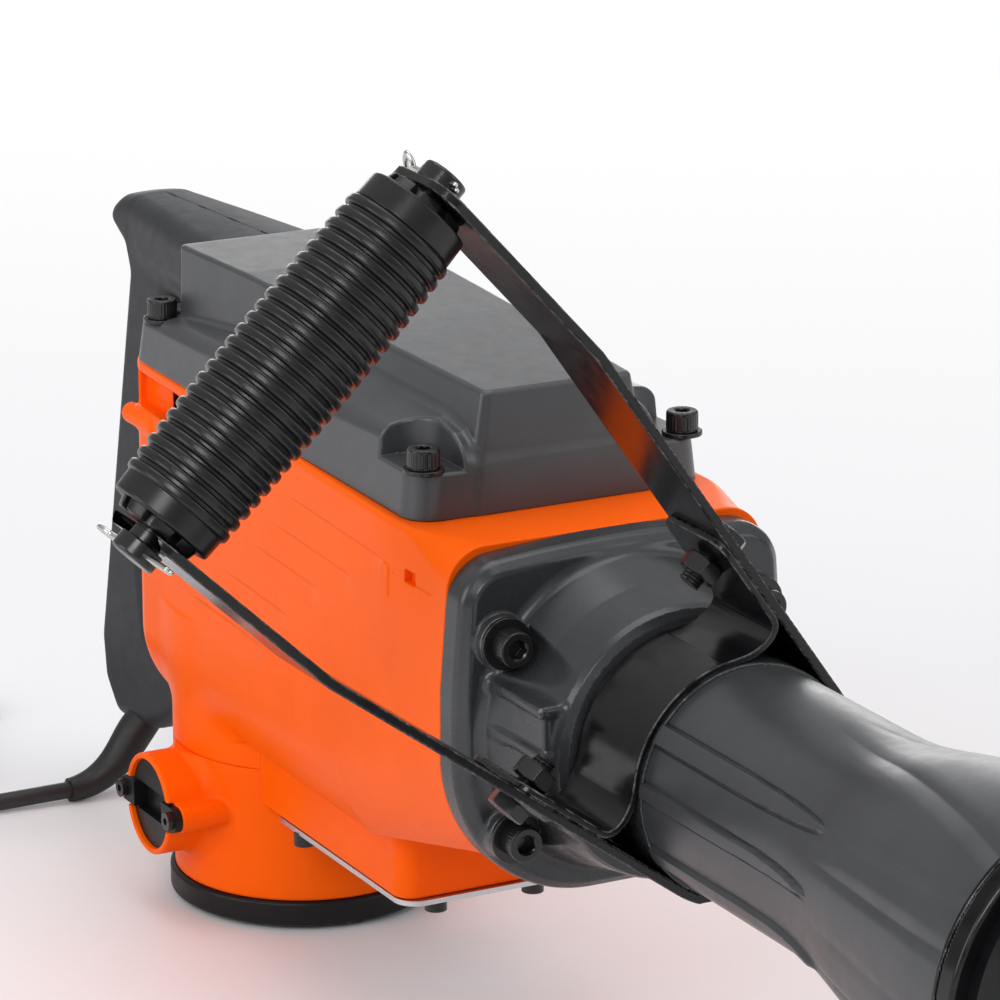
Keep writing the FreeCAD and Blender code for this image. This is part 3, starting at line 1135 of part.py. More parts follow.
CORD_ROUTE = [BOOT_END, (-133, -60, 5.2), (-135.5, -80, 4.0), (-140.5, -101, 3.6),
              (-146.2, -122, 3.6), (-146.6, -134, 3.6)]
TAIL_ROUTE = [(-254.6, -130, 10.8), (-255, -112, 10.2), (-257, -97, 7.5), (-257, -84, 7.5)]


def tube(points, radius):
    """A round tube of straight runs joined by tangent arcs."""
    places = [Vector(*point) for point in points]
    edges = []
    start = places[0]
    for before, corner, after in zip(places, places[1:], places[2:]):
        into = corner - before
        out = after - corner
        turn = into.getAngle(out)
        reach = 0.45 * min(into.Length, out.Length)
        first = corner - into.normalize() * reach
        last = corner + out.normalize() * reach
        bend = reach / math.tan(turn / 2)
        print(f"cord bend: turn {math.degrees(turn):.1f} deg, radius {bend:.0f} mm")
        chord = (first + last) / 2
        inward = (chord - corner).normalize()
        centre = corner + inward * math.hypot(reach, bend)
        middle = centre - inward * bend
        edges.append(Part.LineSegment(start, first).toShape())
        edges.append(Part.Arc(first, middle, last).toShape())
        start = last
    edges.append(Part.LineSegment(start, places[-1]).toShape())
    path = Part.Wire(edges)
    profile = Part.Wire(Part.makeCircle(radius, places[0], places[1] - places[0]))
    thing = doc.addObject("Part::Feature", "Tube")
    thing.Shape = path.makePipeShell([profile], True, False)
    section = math.pi * radius ** 2
    print(f"cord run {path.Length:.1f} mm, volume over section {thing.Shape.Volume / section:.1f} mm")
    return thing


def make_cord():
    coil = turned([("0", "coil_middle - 4 * cord_radius"), ("0", "coil_middle + 4 * cord_radius"),
                   ("4 * cord_radius", "coil_middle + 4 * cord_radius"),
                   ("4 * cord_radius", "coil_middle - 4 * cord_radius")], "z")
    move(coil, "coil_x", "coil_y")
    radius = number_of("cord_radius")
    tubes = [cut(tube(CORD_ROUTE, radius), coil), cut(tube(TAIL_ROUTE, radius), coil)]
    node(group(*tubes), "power_cord")
    node(coil, "cord_coil")
    body = padded("XZ_Plane", [("-272", "2"), ("-269", "0"), ("-245", "0"), ("-242", "2"), ("-242", "13"),
                               ("-245", "15"), ("-269", "15"), ("-272", "13")], "26", "50")
    collar = cone(("-257", "-84", "7.5"), "y", "5.5", "7.4", "10")
    pins = [rod((x, "-50", "7.5"), "y", "2.4", "19") for x in ("-266.5", "-247.5")]
    node(fuse(body, collar, *pins), "plug")


make_tail()
make_housing()
make_brush_gear()
make_motor()
make_bearings()
make_gear_train()
make_striking_train()
make_crankcase()
make_bottom_plate()
make_cover()
make_cylinder_case()
make_barrel()
make_side_handle()
make_d_handle()
make_cord()
doc.recompute()

faults = 0
for thing in doc.Objects:
    if "Invalid" in thing.State or "Error" in thing.State:
        print("state", thing.Name, thing.Label, thing.State)
        faults += 1
for thing in NODES:
    shape = thing.Shape
    if shape.isNull() or not shape.isValid() or not shape.Solids:
        print("bad shape", thing.Label)
        faults += 1
        continue
    box = shape.BoundBox
    print(f"{thing.Label}: {len(shape.Solids)} solids, {shape.Volume / 1000:.2f} cm3, "
          f"X {box.XMin:.1f} {box.XMax:.1f}, Y {box.YMin:.1f} {box.YMax:.1f}, Z {box.ZMin:.1f} {box.ZMax:.1f}")
if faults:
    raise SystemExit("faults in the model")
for thing in NODES:
    thing.Shape.exportStep(f"parts/{thing.Label}.step")
print(len(NODES), "nodes written")
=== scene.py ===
import math

import bpy
import numpy as np
from mathutils import Matrix, Vector


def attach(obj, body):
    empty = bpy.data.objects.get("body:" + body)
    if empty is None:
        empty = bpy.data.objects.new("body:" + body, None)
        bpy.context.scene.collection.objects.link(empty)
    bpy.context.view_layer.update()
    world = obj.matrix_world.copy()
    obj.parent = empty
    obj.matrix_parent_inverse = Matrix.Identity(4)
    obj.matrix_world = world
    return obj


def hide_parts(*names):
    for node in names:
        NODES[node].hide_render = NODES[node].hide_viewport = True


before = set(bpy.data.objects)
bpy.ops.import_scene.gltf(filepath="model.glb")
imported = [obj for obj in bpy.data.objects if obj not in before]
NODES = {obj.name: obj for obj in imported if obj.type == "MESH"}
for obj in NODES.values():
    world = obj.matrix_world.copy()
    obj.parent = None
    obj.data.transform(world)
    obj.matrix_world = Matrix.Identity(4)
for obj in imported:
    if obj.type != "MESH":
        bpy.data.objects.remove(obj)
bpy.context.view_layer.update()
MM = 0.001

# Places and sizes are in millimetres: x along the tool to its tip, y to its left, z up from the floor.
AXIS = 152.5                        # height of the tool's axis
CASE_REAR, CASE_FRONT = -57, 247
CASE_FLOOR, CASE_TOP = 66, 216
FRONT_FLOOR = 87                    # the case's underside where it meets the cylinder case
FOOT_END = 160                      # front end of the foot, where the underside starts to rise
LINER = 31.1                        # radius of the bore for the cylinder liner
MOTOR_RADIUS = 52
BRUSH_HEIGHT = 45.5
NECK_END, BARREL_END = 345, 549

# ---------------------------------------------------------------- camera

AZIMUTH = math.radians(62)
ELEVATION = math.radians(16.5)
DISTANCE, ASIDE, ABOVE = 2016.17, 78.57, 154.33     # from the origin, along the camera's own directions
back = Vector((math.sin(AZIMUTH) * math.cos(ELEVATION), -math.cos(AZIMUTH) * math.cos(ELEVATION),
               math.sin(ELEVATION)))
right = Vector((math.cos(AZIMUTH), math.sin(AZIMUTH), 0))
up = back.cross(right)
camera = bpy.data.objects.new("camera", bpy.data.cameras.new("camera"))
bpy.context.scene.collection.objects.link(camera)
camera.data.lens = 180
camera.data.sensor_width = 36
camera.data.clip_end = 60
camera.location = (back * DISTANCE + right * ASIDE + up * ABOVE) * MM
camera.rotation_euler = Matrix((right, up, back)).transposed().to_euler()
bpy.context.scene.camera = camera

# ---------------------------------------------------------------- cord

CORD_RADIUS = 3.6
ROUTE = [(-133, -46, 5.2), (-133, -60, 5.2), (-135.5, -80, 4.0), (-140.5, -101, 3.6), (-146.2, -122, 3.6)]
LAST_REACH = [(-254.6, -122, 10.8), (-255, -112, 10.2), (-257, -97, 7.5), (-257, -84, 7.5)]
COIL = (-200.6, -132)
OUTER_TURN, INNER_TURN = 54, 32.4   # radii of the coil
LAYER = 7.2                         # one cord's thickness
LAPS = 3                            # turns from the outer radius to the inner one
INWARDS_AT, RISE_AT = 0.6, 3.6      # turns after which the coil winds inwards, and climbs on itself
TURNS = 8.5
PER_TURN = 16
points = list(ROUTE)
for number in range(int(TURNS * PER_TURN) + 1):
    turn = number / PER_TURN
    if turn < RISE_AT:
        radius = OUTER_TURN - LAYER * min(max(turn - INWARDS_AT, 0), LAPS)
        height = CORD_RADIUS
    else:
        radius = INNER_TURN + LAYER * min(max(turn - RISE_AT - 1, 0), LAPS)
        height = CORD_RADIUS + LAYER * min(max(turn - RISE_AT, 0), 1)
    angle = -2 * math.pi * turn
    points.append((COIL[0] + radius * math.cos(angle), COIL[1] + radius * math.sin(angle), height))
points += LAST_REACH


def spline(name, places, radius):
    """A round cord on one smooth line, its control points in millimetres."""
    curve = bpy.data.curves.new(name, "CURVE")
    curve.dimensions = "3D"
    line = curve.splines.new("NURBS")
    line.points.add(len(places) - 1)
    for spot, place in zip(line.points, places):
        spot.co = (*(value * MM for value in place), 1)
    line.order_u = 3
    line.use_endpoint_u = True
    line.resolution_u = 6
    curve.bevel_depth = radius * MM
    curve.bevel_resolution = 5
    curve.use_fill_caps = True
    thing = bpy.data.objects.new(name, curve)
    bpy.context.scene.collection.objects.link(thing)
    return thing


cord = spline("mains_cord", points, CORD_RADIUS)

# ---------------------------------------------------------------- materials


class Nodes:
    """A short way to write a material's nodes."""

    def __init__(self, name):
        self.material = bpy.data.materials.new(name)
        self.material.use_nodes = True
        self.tree = self.material.node_tree
        self.shader = self.tree.nodes["Principled BSDF"]

    def add(self, kind, **settings):
        made = self.tree.nodes.new("ShaderNode" + kind)
        for key, value in settings.items():
            if hasattr(made, key):
                setattr(made, key, value)
            else:
                made.inputs[key.replace("_", " ")].default_value = value
        return made

    def link(self, source, target):
        self.tree.links.new(source, target)

    def math(self, kind, first, second):
        made = self.add("Math", operation=kind)
        for socket, value in zip(made.inputs, (first, second)):
            if isinstance(value, (int, float)):
                socket.default_value = value
            else:
                self.link(value, socket)
        return made.outputs[0]

    def mix(self, factor, first, second):
        made = self.add("Mix", data_type="RGBA")
        for socket, value in ((made.inputs[0], factor), (made.inputs[6], first), (made.inputs[7], second)):
            if isinstance(value, (int, float)):
                socket.default_value = value
            elif isinstance(value, tuple):
                socket.default_value = (*value, 1)
            else:
                self.link(value, socket)
        return made.outputs[2]

    def ramp(self, source, low, high, from_value=0.0, to_value=1.0):
        """A value taken from one range to another and held at its ends."""
        made = self.add("MapRange")
        made.clamp = True
        self.link(source, made.inputs[0])
        for socket, value in zip(made.inputs[1:5], (low, high, from_value, to_value)):
            socket.default_value = value
        return made.outputs[0]


def surface(name, colour, roughness, grain, grain_size, vary, smear, metal=0.0, wear=None, wear_amount=0.6,
            stretch=(1, 1, 1), specular=0.5, dust=0.0):
    """A finish with mottled colour, uneven gloss, a fine bump and rubbed edges; grain is in millimetres."""
    n = Nodes(name)
    place = n.add("TexCoord").outputs["Object"]
    mapping = n.add("Mapping")
    mapping.inputs["Scale"].default_value = stretch
    n.link(place, mapping.inputs["Vector"])
    place = mapping.outputs[0]
    broad = n.add("TexNoise", Scale=28.0, Detail=4.0, Roughness=0.55)
    fine = n.add("TexNoise", Scale=1000.0 / grain_size, Detail=3.0, Roughness=0.6)
    marks = n.add("TexNoise", Scale=160.0, Detail=6.0, Roughness=0.65)
    for made in (broad, fine, marks):
        n.link(place, made.inputs["Vector"])
    dark = tuple(channel * (1 - vary) for channel in colour)
    light = tuple(min(channel * (1 + vary) + 0.004 * vary, 1) for channel in colour)
    tint = n.mix(n.ramp(broad.outputs[0], 0.35, 0.65), dark, light)
    gloss = n.ramp(marks.outputs[0], 0.3, 0.7, max(roughness - smear, 0.02), min(roughness + smear, 1))
    if wear:
        edge = n.add("Attribute", attribute_name="edge").outputs["Fac"]
        patches = n.ramp(marks.outputs[0], 0.42, 0.6, 0, wear_amount)
        rubbed = n.math("MULTIPLY", n.ramp(edge, 0.35, 0.9), patches)
        tint = n.mix(rubbed, tint, wear)
        gloss = n.math("ADD", gloss, n.math("MULTIPLY", rubbed, 0.12))
    if dust:
        tint = n.mix(n.ramp(fine.outputs[0], 0.6, 0.8, 0, dust), tint, (0.5, 0.49, 0.47))
    n.link(tint, n.shader.inputs["Base Color"])
    n.link(gloss, n.shader.inputs["Roughness"])
    n.shader.inputs["Metallic"].default_value = metal
    n.shader.inputs["Specular IOR Level"].default_value = specular
    bump = n.add("Bump", Strength=1.0, Distance=grain * MM)
    n.link(fine.outputs[0], bump.inputs["Height"])
    n.link(bump.outputs[0], n.shader.inputs["Normal"])
    return n.material


ORANGE = surface("orange_paint", (0.98, 0.118, 0.0015), 0.34, grain=0.006, grain_size=1.8, vary=0.03,
                 smear=0.03, wear=(0.95, 0.2, 0.03), wear_amount=0.2, specular=0.07)
CAST = surface("grey_cast_paint", (0.07, 0.072, 0.077), 0.34, grain=0.035, grain_size=0.7, vary=0.08,
               smear=0.04, wear=(0.26, 0.26, 0.27), wear_amount=0.45, metal=0.4)
CAST_GLOSS = surface("grey_cast_gloss", (0.05, 0.052, 0.055), 0.28, grain=0.015, grain_size=0.9, vary=0.1,
                     smear=0.04, wear=(0.4, 0.4, 0.41), wear_amount=0.6, metal=0.4)
BLACK_STEEL = surface("black_oxide", (0.009, 0.009, 0.01), 0.24, grain=0.006, grain_size=0.7, vary=0.25,
                      smear=0.08, wear=(0.12, 0.12, 0.12), wear_amount=0.5, specular=0.5)
BLACK_PAINT = surface("black_paint", (0.005, 0.005, 0.006), 0.18, grain=0.006, grain_size=1.6, vary=0.2,
                      smear=0.06, wear=(0.3, 0.3, 0.31), wear_amount=0.7, specular=0.36)
BLACK_PLASTIC = surface("black_plastic", (0.006, 0.006, 0.007), 0.4, grain=0.015, grain_size=0.6, vary=0.15,
                        smear=0.06, wear=(0.05, 0.05, 0.05), specular=0.25)
GRIP_PLASTIC = surface("grip_plastic", (0.006, 0.006, 0.007), 0.3, grain=0.02, grain_size=0.6, vary=0.15,
                       smear=0.04, specular=0.4)
RUBBER = surface("black_rubber", (0.006, 0.006, 0.007), 0.5, grain=0.03, grain_size=0.8, vary=0.2, smear=0.1,
                 wear=(0.05, 0.05, 0.05), dust=0.05)
GREY_PLASTIC = surface("grey_plastic", (0.028, 0.029, 0.033), 0.55, grain=0.03, grain_size=0.7, vary=0.08,
                       smear=0.05, wear=(0.07, 0.07, 0.08), specular=0.3)
ALUMINIUM = surface("bare_aluminium", (0.62, 0.62, 0.63), 0.32, grain=0.02, grain_size=0.5, vary=0.06,
                    smear=0.08, metal=1.0, stretch=(1, 0.1, 1))
STEEL = surface("machined_steel", (0.42, 0.42, 0.43), 0.3, grain=0.008, grain_size=0.5, vary=0.1,
                smear=0.1, metal=1.0, stretch=(0.15, 1, 1))
ZINC = surface("zinc_plate", (0.62, 0.62, 0.6), 0.26, grain=0.01, grain_size=0.6, vary=0.1, smear=0.1,
               metal=1.0)
COPPER = surface("enamelled_wire", (0.5, 0.16, 0.05), 0.3, grain=0.2, grain_size=1.4, vary=0.2,
                 smear=0.08, metal=1.0, stretch=(1, 1, 0.1))
BRASS = surface("brass", (0.62, 0.42, 0.16), 0.3, grain=0.01, grain_size=0.6, vary=0.1, smear=0.08, metal=1.0)
CARBON = surface("carbon", (0.02, 0.02, 0.02), 0.6, grain=0.03, grain_size=0.5, vary=0.25, smear=0.1)
CORD_SKIN = surface("cord_rubber", (0.016, 0.016, 0.018), 0.48, grain=0.03, grain_size=1.2, vary=0.15,
                    smear=0.08)

BY_SLOT = {
    "black_metal": BLACK_PAINT, "black_plastic": BLACK_PLASTIC, "grey_plastic": GREY_PLASTIC,
    "orange_cast": ORANGE, "grey_cast": CAST, "bare_aluminium": ALUMINIUM, "steel": STEEL,
    "dark_steel": BLACK_STEEL, "zinc_steel": ZINC, "copper": COPPER, "brass": BRASS, "carbon": CARBON,
    "black_rubber": RUBBER,
}


def paint(thing, material):
    """Gives a piece its one material."""
    thing.data.materials.clear()
    thing.data.materials.append(material)


for thing in NODES.values():
    paint(thing, BY_SLOT[thing.data.materials[0].name.split(".")[0]])
paint(NODES["front_cap"], BLACK_PAINT)

# ---------------------------------------------------------------- shapes as distance fields, in millimetres


def rounded(a, b, radius):
    """What lies in both a and b, its edge rounded."""
    corner = np.hypot(np.maximum(radius + a, 0), np.maximum(radius + b, 0))
    return np.minimum(-radius, np.maximum(a, b)) + corner


def merged(a, b, radius):
    """What lies in a or b, their corner filled."""
    corner = np.hypot(np.maximum(radius - a, 0), np.maximum(radius - b, 0))
    return np.maximum(radius, np.minimum(a, b)) - corner


def carved(a, b, radius):
    """a without b, the rim rounded."""
    return rounded(a, -b, radius)


def between(value, low, high):
    """What lies between two planes."""
    return np.maximum(low - value, value - high)


def box(x, y, z, low, high, radius):
    """A box with rounded edges, from its low corner to its high one."""
    sides = [np.abs(value - (a + b) / 2) - (b - a) / 2 + radius
             for value, a, b in zip((x, y, z), low, high)]
    outer = np.sqrt(sum(np.maximum(side, 0) ** 2 for side in sides))
    return outer + np.minimum(np.maximum(np.maximum(sides[0], sides[1]), sides[2]), 0) - radius


def step_up(value, low, high):
    """From 0 at low to 1 at high, eased at both ends."""
    share = np.clip((value - low) / (high - low), 0, 1)
    return share * share * (3 - 2 * share)


FAR = 1e3


def to_segment(a, b, start, end):
    """Distance from a straight piece of line."""
    (a0, b0), (a1, b1) = start, end
    da, db = a1 - a0, b1 - b0
    share = np.clip(((a - a0) * da + (b - b0) * db) / (da * da + db * db), 0, 1)
    return np.hypot(a - a0 - share * da, b - b0 - share * db)


def turned(along, radius, places):
    """A turned shape from points (along, radius): the distance to its outline."""
    rows = np.array(places, float)
    out = np.full(np.broadcast(along, radius).shape, 1e9)
    inner = np.interp(along, rows[:, 0], rows[:, 1])
    for start, end in zip(places, places[1:]):
        out = np.minimum(out, to_segment(along, radius, start, end))
    inside = (radius < inner) & (along > rows[0, 0]) & (along < rows[-1, 0])
    ends = np.maximum(rows[0, 0] - along, along - rows[-1, 0])
    return np.where(inside, np.maximum(-out, ends), np.where(ends > 0, np.maximum(out, ends), out))


def outline(a, b, corners):
    """Signed distance from a closed outline."""
    out = np.full(np.broadcast(a, b).shape, 1e9)
    inside = np.zeros(out.shape, bool)
    for start, end in zip(corners, corners[1:] + corners[:1]):
        out = np.minimum(out, to_segment(a, b, start, end))
        (a0, b0), (a1, b1) = start, end
        if b1 != b0:
            inside ^= ((b0 > b) != (b1 > b)) & (a < a0 + (b - b0) * (a1 - a0) / (b1 - b0))
    return np.where(inside, -out, out)


def eased(corners, passes):
    """A look-up of an outline's signed distance with its corners eased."""
    step, margin = 0.5, 14
    low = np.min(corners, axis=0) - margin
    high = np.max(corners, axis=0) + margin
    grid = np.meshgrid(np.arange(low[0], high[0], step), np.arange(low[1], high[1], step), indexing="ij")
    value = outline(*grid, corners)
    for _ in range(passes):
        value[1:-1, 1:-1] = (value[2:, 1:-1] + value[:-2, 1:-1] + value[1:-1, 2:] + value[1:-1, :-2]) / 4

    def look(a, b):
        i = np.clip((a - low[0]) / step, 0, value.shape[0] - 1.001)
        j = np.clip((b - low[1]) / step, 0, value.shape[1] - 1.001)
        row, column = i.astype(int), j.astype(int)
        i, j = i - row, j - column
        first = value[row, column] * (1 - j) + value[row, column + 1] * j
        second = value[row + 1, column] * (1 - j) + value[row + 1, column + 1] * j
        return first * (1 - i) + second * i
    return look


BLOCK = 8             # the net is made in blocks of this many cells a side
CUBE = np.array([(i, j, k) for i in (0, 1) for j in (0, 1) for k in (0, 1)])
CUBE_EDGES = [(a, b) for a in range(8) for b in range(a + 1, 8) if np.abs(CUBE[a] - CUBE[b]).sum() == 1]


def sample(field, spots):
    """The field at many points, worked out in parts."""
    count = max(1, len(spots) // 200000)
    return np.concatenate([field(*part.T) for part in np.array_split(spots, count)])


def slope_of(field, spots):
    """The field and its slope at many points."""
    reach = 0.03
    corners = np.array([(1, 1, 1), (1, -1, -1), (-1, 1, -1), (-1, -1, 1)], float)
    values = [sample(field, spots + corner * reach) for corner in corners]
    slope = sum(value[:, None] * corner for value, corner in zip(values, corners)) / (4 * reach)
    return sum(values) / 4, slope


def net(field, low, high, step):
    """The surface where the field is zero, as points and four-sided faces."""
    # The uneven margin keeps the shapes' flat faces off the planes of the grid.
    low = np.array(low, float) - 1.37 * step
    count = np.ceil((np.array(high, float) + 1.3 * step - low) / (step * BLOCK)).astype(int)
    blocks = np.stack(np.meshgrid(*[np.arange(c) for c in count], indexing="ij"), -1).reshape(-1, 3)
    centres = low + (blocks + 0.5) * step * BLOCK
    half_diagonal, slack = 0.9, 1.25
    reach = step * BLOCK * half_diagonal * slack + step
    blocks = blocks[np.abs(sample(field, centres)) < reach]
    span = np.arange(BLOCK + 1)
    inner = np.stack(np.meshgrid(span, span, span, indexing="ij"), -1)
    index = blocks[:, None, None, None, :] * BLOCK + inner
    value = sample(field, (low + index * step).reshape(-1, 3)).reshape(index.shape[:-1])
    inside = value < 0
    total = sum(inside[:, i:BLOCK + i, j:BLOCK + j, k:BLOCK + k].astype(np.int8) for i, j, k in CUBE)
    which, i, j, k = np.nonzero((total > 0) & (total < 8))
    corner = [value[which, i + a, j + b, k + c] for a, b, c in CUBE]
    place = np.zeros((len(which), 3))
    crossings = np.zeros(len(which))
    for a, b in CUBE_EDGES:
        change = (corner[a] < 0) != (corner[b] < 0)
        gap = np.where(change, corner[a] - corner[b], 1)
        share = np.where(change, corner[a] / gap, 0)
        spot = CUBE[a] + share[:, None] * (CUBE[b] - CUBE[a])
        place += np.where(change[:, None], spot, 0)
        crossings += change
    cell = blocks[which] * BLOCK + np.stack([i, j, k], -1)
    spots = low + (cell + place / crossings[:, None]) * step
    size = count * BLOCK + 2

    def key(cells):
        """One number for each cell."""
        cells = cells + 1
        return (cells[:, 0] * size[1] + cells[:, 1]) * size[2] + cells[:, 2]

    keys = key(cell)
    order = np.argsort(keys)
    ranked = keys[order]
    faces = []
    for axis in range(3):
        first = inside[:, :BLOCK, :BLOCK, :BLOCK]
        ahead = [slice(1, BLOCK + 1) if a == axis else slice(0, BLOCK) for a in range(3)]
        second = inside[(slice(None), *ahead)]
        which, i, j, k = np.nonzero(first != second)
        at = blocks[which] * BLOCK + np.stack([i, j, k], -1)
        outward = first[which, i, j, k]
        b, c = (axis + 1) % 3, (axis + 2) % 3
        ring = []
        good = np.ones(len(at), bool)
        for move_b, move_c in ((-1, -1), (0, -1), (0, 0), (-1, 0)):
            near = at.copy()
            near[:, b] += move_b
            near[:, c] += move_c
            wanted = key(near)
            spot = np.clip(np.searchsorted(ranked, wanted), 0, len(ranked) - 1)
            good &= ranked[spot] == wanted
            ring.append(order[spot])
        ring = np.stack(ring, -1)
        ring[~outward] = ring[~outward][:, ::-1]
        faces.append(ring[good])
    return spots, np.concatenate(faces)


def settle(field, spots, step, rounds):
    """Moves points onto the surface and returns them with the outward directions."""
    for _ in range(rounds):
        value, slope = slope_of(field, spots)
        length = np.maximum((slope ** 2).sum(1), 0.2)
        spots = spots - slope * np.clip(value / length, -0.6 * step, 0.6 * step)[:, None]
    value, slope = slope_of(field, spots)
    return spots, slope / np.maximum(np.linalg.norm(slope, axis=1), 1e-6)[:, None]


def sharpness(field, spots, normals, reach):
    """How much the surface turns outwards at each point, from 0 on a flat face to 1 on an edge."""
    helper = np.where(np.abs(normals[:, :1]) < 0.7, np.array([[1.0, 0, 0]]), np.array([[0, 1.0, 0]]))
    side = np.cross(normals, helper)
    side /= np.linalg.norm(side, axis=1)[:, None]
    other = np.cross(normals, side)
    total = sum(sample(field, spots + way * reach) for way in (side, -side, other, -other))
    return np.clip(total / (4 * reach) * 3, 0, 1)


def new_piece(name, spots, faces):
    """An object from points in millimetres and the faces between them."""
    mesh = bpy.data.meshes.new(name)
    mesh.from_pydata(spots * MM, [], faces.tolist())
    thing = bpy.data.objects.new(name, mesh)
    bpy.context.scene.collection.objects.link(thing)
    return thing


def cast(name, field, low, high, step, material, body, node_names, share, slot):
    """A piece from a distance field, thinned where it is flat to a share of its faces."""
    spots, faces = net(field, low, high, step)
    spots, normals = settle(field, spots, step, 2)
    thing = new_piece(name, spots, faces)
    thin = thing.modifiers.new("thin", "DECIMATE")
    thin.ratio = share
    bpy.context.view_layer.update()
    graph = bpy.context.evaluated_depsgraph_get()
    mesh = bpy.data.meshes.new_from_object(thing.evaluated_get(graph))
    thing.modifiers.clear()
    thing.data = mesh
    mesh.name = name
    spots = np.zeros(len(mesh.vertices) * 3)
    mesh.vertices.foreach_get("co", spots)
    spots, normals = settle(field, spots.reshape(-1, 3) / MM, step, 1)
    mesh.vertices.foreach_set("co", (spots * MM).ravel())
    finish_mesh(mesh, normals, sharpness(field, spots, normals, 0.8))
    place(thing, material, body, node_names, slot)


def finish_mesh(mesh, normals, edge):
    """Gives a mesh its shading directions and how sharp it is at each point."""
    mesh.polygons.foreach_set("use_smooth", [True] * len(mesh.polygons))
    mesh.attributes.new("edge", "FLOAT", "POINT").data.foreach_set("value", edge.astype(np.float32))
    mesh.normals_split_custom_set_from_vertices(normals.tolist())
    mesh.update()


def place(thing, material, body, node_names, slot):
    """Paints a piece and puts it on its body, in the stead of its nodes."""
    paint(thing, material)
    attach(thing, body)
    if node_names:
        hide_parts(*node_names)


# ---------------------------------------------------------------- crankcase

LEAN, LEAN_FROM = 0.075, 165        # how much the sides lean in, and from which height
LINE_DEPTH = 0.45
SIDE_LINES = [(200, 99, 201), (185.5, 82, 173), (172, 64, 143), (153, 36, 111), (133.5, 0, 87)]


def case_half(x, z):
    """Half the case's width, which grows to the front, where its sides lean in at the top."""
    lean = LEAN * np.maximum(z - LEAN_FROM, 0)
    return 50 + 16 * (x - CASE_REAR) / (CASE_FRONT - CASE_REAR) - lean * step_up(x, 190, CASE_FRONT)


def crankcase(x, y, z):
    """The orange case: a rounded hull with its foot, the motor's flare and the marks in its sides."""
    ay = np.abs(y)
    half = case_half(x, z)
    lines = 0
    for height, start, end in SIDE_LINES:
        level = z - height
        across = LINE_DEPTH * step_up(-level, -0.6, 0.6) * step_up(-level, 13, 1)
        lines = lines + across * step_up(x, start, start + 30) * step_up(x, end, end - 12)
    side = (ay - half) * 0.9986 + lines
    rear = CASE_REAR - x
    plan = rounded(side, rear, 20)
    rise, run = FRONT_FLOOR - CASE_FLOOR, CASE_FRONT - FOOT_END
    under = rounded(CASE_FLOOR - z, ((x - FOOT_END) * rise - (z - CASE_FLOOR) * run) / 89.5, 6)
    belly = 40 + 14 * np.clip(x / 240, 0, 1)
    hull = rounded(np.maximum(plan, rounded(rear, under, 8)), under, belly)
    hull = rounded(hull, z - CASE_TOP, 2.5 + 11.5 * step_up(x, 212, 246))
    hull = rounded(hull, x - CASE_FRONT + 0.1, 0.5)
    foot = rounded(rounded(ay - 37, x - FOOT_END, 8), 52.6 - z, 1)
    foot = np.maximum(np.maximum(foot, 40 - x), z - 80)
    shape = merged(hull, foot, 2.5)
    flare = np.maximum(rounded(np.hypot(x, y) - MOTOR_RADIUS, CASE_FLOOR + 0.05 - z, 0.6), z - 120)
    shape = merged(shape, flare, 5)
    bump = box(x, ay, z, (198, 60, 187), (203, 66, 199), 1.5)
    bump = np.maximum(bump, ay - half - 0.25)
    shape = merged(shape, bump, 0.8)
    slot_cut = box(x, ay, z, (215, 60, 196.2), (223, 70, 200.6), 0.3)
    shape = carved(shape, np.maximum(slot_cut, half - 5 - ay), 0.3)
    seam = box(x, ay, z, (206, 50, 196.8), (236, 75, 197.3), 0.05)
    shape = carved(shape, np.maximum(seam, half - 0.2 - ay), 0.2)
    recess = box(x, ay, z, (-46, 43.5, 196), (4, 70, 210.5), 2)
    shape = carved(shape, recess, 1.2)
    lip = np.hypot(ay - 48.8, z - 190.5) - 4.2
    lip = rounded(lip, between(x, -54, -26), 2)
    shape = merged(shape, lip, 2)
    bore = np.hypot(y, z - AXIS) - LINER - 8 * step_up(x, 121, 118)
    shape = carved(shape, np.maximum(bore, 40 - x), 0.3)
    return carved(shape, np.hypot(x, y) - MOTOR_RADIUS + 3, 0.3)


cast("crankcase_casting", crankcase, (-58, -68, 52), (248, 68, 217), 0.85, ORANGE, "housing", ["crankcase"],
     share=0.7, slot="orange_cast")

# ---------------------------------------------------------------- gear cover

COVER_REAR, COVER_FRONT = -45, 215
ROOF_REAR = -24
SCREW_SEAT = 233                    # height of the seats for the cover's screws
FRONT_SCREW, REAR_SCREW = (208.5, 52.2), (-28, 45.5)


